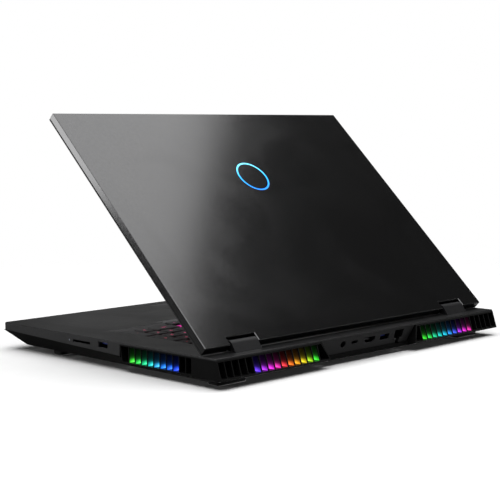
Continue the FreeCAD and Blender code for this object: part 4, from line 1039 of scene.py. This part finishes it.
# ------------ dust screens
@dataclass
class DustScreens:
    """Fine dark screens below the air slots of the deck, behind the keyboard."""

    inner: float = 33.0 * MM
    outer: float = 117.0 * MM
    front: float = 94.0 * MM
    back: float = 113.4 * MM
    deck_skin: float = 1.6 * MM
    thickness: float = 0.2 * MM
    gap: float = 0.01 * MM

    def build(self, wardrobe: Wardrobe) -> None:
        """Builds one screen for each side."""
        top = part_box("top_cover")[1].z - self.deck_skin - self.gap
        for side in Side:
            near, far = sorted((side.value * self.inner, side.value * self.outer))
            draft = MeshDraft()
            draft.slab((near, self.front, top - self.thickness), (far, self.back, top),
                       1.0 * MM, 0.05 * MM)
            draft.place(wardrobe, f"dust_screen_{side.name.lower()}", "vent_plastic")


# ------------ studio
@dataclass
class Softbox:
    """A rectangular studio light that points at a target."""

    name: str
    place: Point
    target: Point
    wide: float
    tall: float
    brightness: float
    spin: float = 0.0

    def build(self) -> None:
        """Adds the light, its power set from its brightness and its area."""
        data = bpy.data.lights.new(self.name, "AREA")
        data.shape = "RECTANGLE"
        data.size = self.wide
        data.size_y = self.tall
        data.energy = self.brightness * math.pi * self.wide * self.tall
        light = bpy.data.objects.new(self.name, data)
        light.location = self.place
        aim = Vector(self.target) - Vector(self.place)
        aimed = aim.to_track_quat("-Z", "Y").to_matrix()
        spun = Matrix.Rotation(math.radians(self.spin), 3, "Z")
        light.rotation_euler = (spun @ aimed).to_euler()
        light.visible_camera = False
        bpy.context.scene.collection.objects.link(light)


SOFTBOXES = (
    Softbox("overhead_softbox", (-0.02, 0.0, 3.0), (-0.02, 0.0, 0.0), 5.0, 4.8, 2.5, -17.0),
    Softbox("side_softbox", (1.9, -1.75, 0.23), (0.1, 0.0, 0.05), 1.5, 0.44, 5.0),
    Softbox("rear_softbox", (-1.9, 1.9, 0.23), (0.0, 0.1, 0.05), 1.0, 0.42, 4.4),
    Softbox("far_softbox", (-1.75, -2.0, 0.42), (0.0, -0.1, 0.02), 1.0, 0.5, 0.22),
    Softbox("under_softbox", (-1.6, -1.0, -1.3), (0.0, 0.0, 0.0), 2.2, 1.4, 9.0),
)


@dataclass
class Studio:
    """A pale floor that melts into a white surround, soft lights and the camera."""

    camera_place: Point = (0.9238, 0.9050, 0.2156)
    azimuth: float = 45.38
    elevation: float = 5.466
    roll: float = -0.29
    lens: float = 92.57
    shift: tuple[float, float] = (-0.0032, 0.0026)
    floor_radius: float = 1.6
    floor_level: float = -0.0002
    floor_sides: int = 64
    floor_fade: tuple[float, float] = (0.40, 0.85)
    floor_unseen: Colour = (0.11, 0.11, 0.11)
    ambient: float = 0.032

    def build(self) -> None:
        """Sets up the surround, the floor, the lights and the camera."""
        bpy.context.scene.view_settings.view_transform = "Standard"
        self.surround()
        self.floor()
        for softbox in SOFTBOXES:
            softbox.build()
        self.camera()

    def surround(self) -> None:
        """Makes the world white to look at, and dim as a source of light."""
        world = bpy.data.worlds.new("surround")
        world.use_nodes = True
        bpy.context.scene.world = world
        sheet = NodeSheet(world.node_tree)
        seen = sheet.add("LightPath").outputs["Is Camera Ray"]
        backdrop = world.node_tree.nodes["Background"]
        set_values(backdrop, {"Color": (1.0, 1.0, 1.0, 1.0)})
        sheet.join(sheet.spread(seen, (0.0, 1.0), (self.ambient, 1.0)),
                   backdrop.inputs["Strength"])

    def floor(self) -> None:
        """Builds the round floor, which fades out to its rim and is clear from below."""
        material, sheet, shader = open_material("studio_floor")
        set_values(shader, {"Roughness": 0.85, "Specular IOR Level": 0.2})
        place = sheet.add("VectorMath", {0: sheet.point()}, operation="LENGTH")
        fade = sheet.spread(place.outputs["Value"], self.floor_fade, (1.0, 0.0))
        paper = sheet.add("TexNoise", {"Vector": sheet.point(), "Scale": 60.0}).outputs[0]
        tint = Finish.blend(sheet, paper, (0.95, 0.95, 0.95), (0.99, 0.99, 0.99))
        path = sheet.add("LightPath")
        seen = path.outputs["Is Camera Ray"]
        tint = Finish.blend(sheet, seen, self.floor_unseen, tint)
        behind = sheet.add("NewGeometry").outputs["Backfacing"]
        from_below = sheet.calc("MULTIPLY", behind, seen)
        open_way = sheet.calc("MAXIMUM", from_below, path.outputs["Is Shadow Ray"])
        fade = sheet.calc("MULTIPLY", fade, sheet.calc("SUBTRACT", 1.0, open_way))
        sheet.join(tint, shader.inputs["Base Color"])
        sheet.join(fade, shader.inputs["Alpha"])
        turns = [math.tau * step / self.floor_sides for step in range(self.floor_sides)]
        draft = MeshDraft()
        draft.loft([
            [(self.floor_radius * share * math.cos(turn),
              -self.floor_radius * share * math.sin(turn), self.floor_level) for turn in turns]
            for share in (0.02, 0.35, 0.7, 1.0)], caps=False)
        draft.faces.append(tuple(reversed(range(self.floor_sides))))
        draft.build("studio_floor", material)

    def camera(self) -> None:
        """Places the camera and makes it the scene's own."""
        turn, lift = math.radians(self.azimuth), math.radians(self.elevation)
        back = Vector((math.sin(turn) * math.cos(lift), math.cos(turn) * math.cos(lift),
                       math.sin(lift)))
        right = Vector((0.0, 0.0, 1.0)).cross(back).normalized()
        up = back.cross(right)
        basis = Matrix((right, up, back)).transposed().to_4x4()
        data = bpy.data.cameras.new("studio_camera")
        data.lens = self.lens
        data.shift_x, data.shift_y = self.shift
        camera = bpy.data.objects.new("studio_camera", data)
        spin = Matrix.Rotation(math.radians(self.roll), 4, "Z")
        camera.matrix_world = Matrix.Translation(self.camera_place) @ basis @ spin
        bpy.context.scene.collection.objects.link(camera)
        bpy.context.scene.camera = camera


# ------------ colours of the light
RIGHT_REAR_LIGHTS = (
    (0.16, 0.05, 1.0), (0.50, 0.04, 0.95), (0.90, 0.03, 0.85), (1.0, 0.04, 0.50),
    (1.0, 0.05, 0.07), (1.0, 0.20, 0.02), (1.0, 0.42, 0.02), (0.92, 0.72, 0.02),
    (0.42, 0.85, 0.02), (0.05, 0.85, 0.04),
)
RIGHT_SIDE_LIGHTS = (
    (0.06, 0.80, 0.05), (0.04, 0.78, 0.10), (0.02, 0.70, 0.28), (0.02, 0.62, 0.60),
    (0.04, 0.45, 0.90), (0.02, 0.24, 1.0), (0.02, 0.16, 1.0), (0.02, 0.08, 0.95),
)
LEFT_REAR_LIGHTS = (
    (1.0, 0.05, 0.50), (0.95, 0.04, 0.80), (0.50, 0.05, 1.0), (0.06, 0.14, 1.0),
    (0.03, 0.36, 1.0), (0.02, 0.62, 0.85), (0.02, 0.72, 0.62), (0.02, 0.74, 0.34),
    (0.04, 0.82, 0.10), (0.05, 0.85, 0.04),
)
LEFT_SIDE_LIGHTS = (
    (0.90, 0.72, 0.02), (1.0, 0.50, 0.02), (1.0, 0.28, 0.02), (1.0, 0.10, 0.04),
    (1.0, 0.05, 0.14), (1.0, 0.04, 0.28), (1.0, 0.04, 0.42), (1.0, 0.05, 0.50),
)


def main() -> None:
    """Builds every sub-assembly in order, then the studio."""
    logging.basicConfig(level=logging.INFO, format="%(message)s")
    wardrobe = Wardrobe()
    wardrobe.dress_frame()
    VentLights(Side.RIGHT, RIGHT_REAR_LIGHTS, RIGHT_SIDE_LIGHTS).build(wardrobe)
    VentLights(Side.LEFT, LEFT_REAR_LIGHTS, LEFT_SIDE_LIGHTS).build(wardrobe)
    Keyboard().build(wardrobe)
    Ports().build(wardrobe)
    RoundedParts().build(wardrobe)
    DustScreens().build(wardrobe)
    Studio().build()


if __name__ == "__main__":
    main()
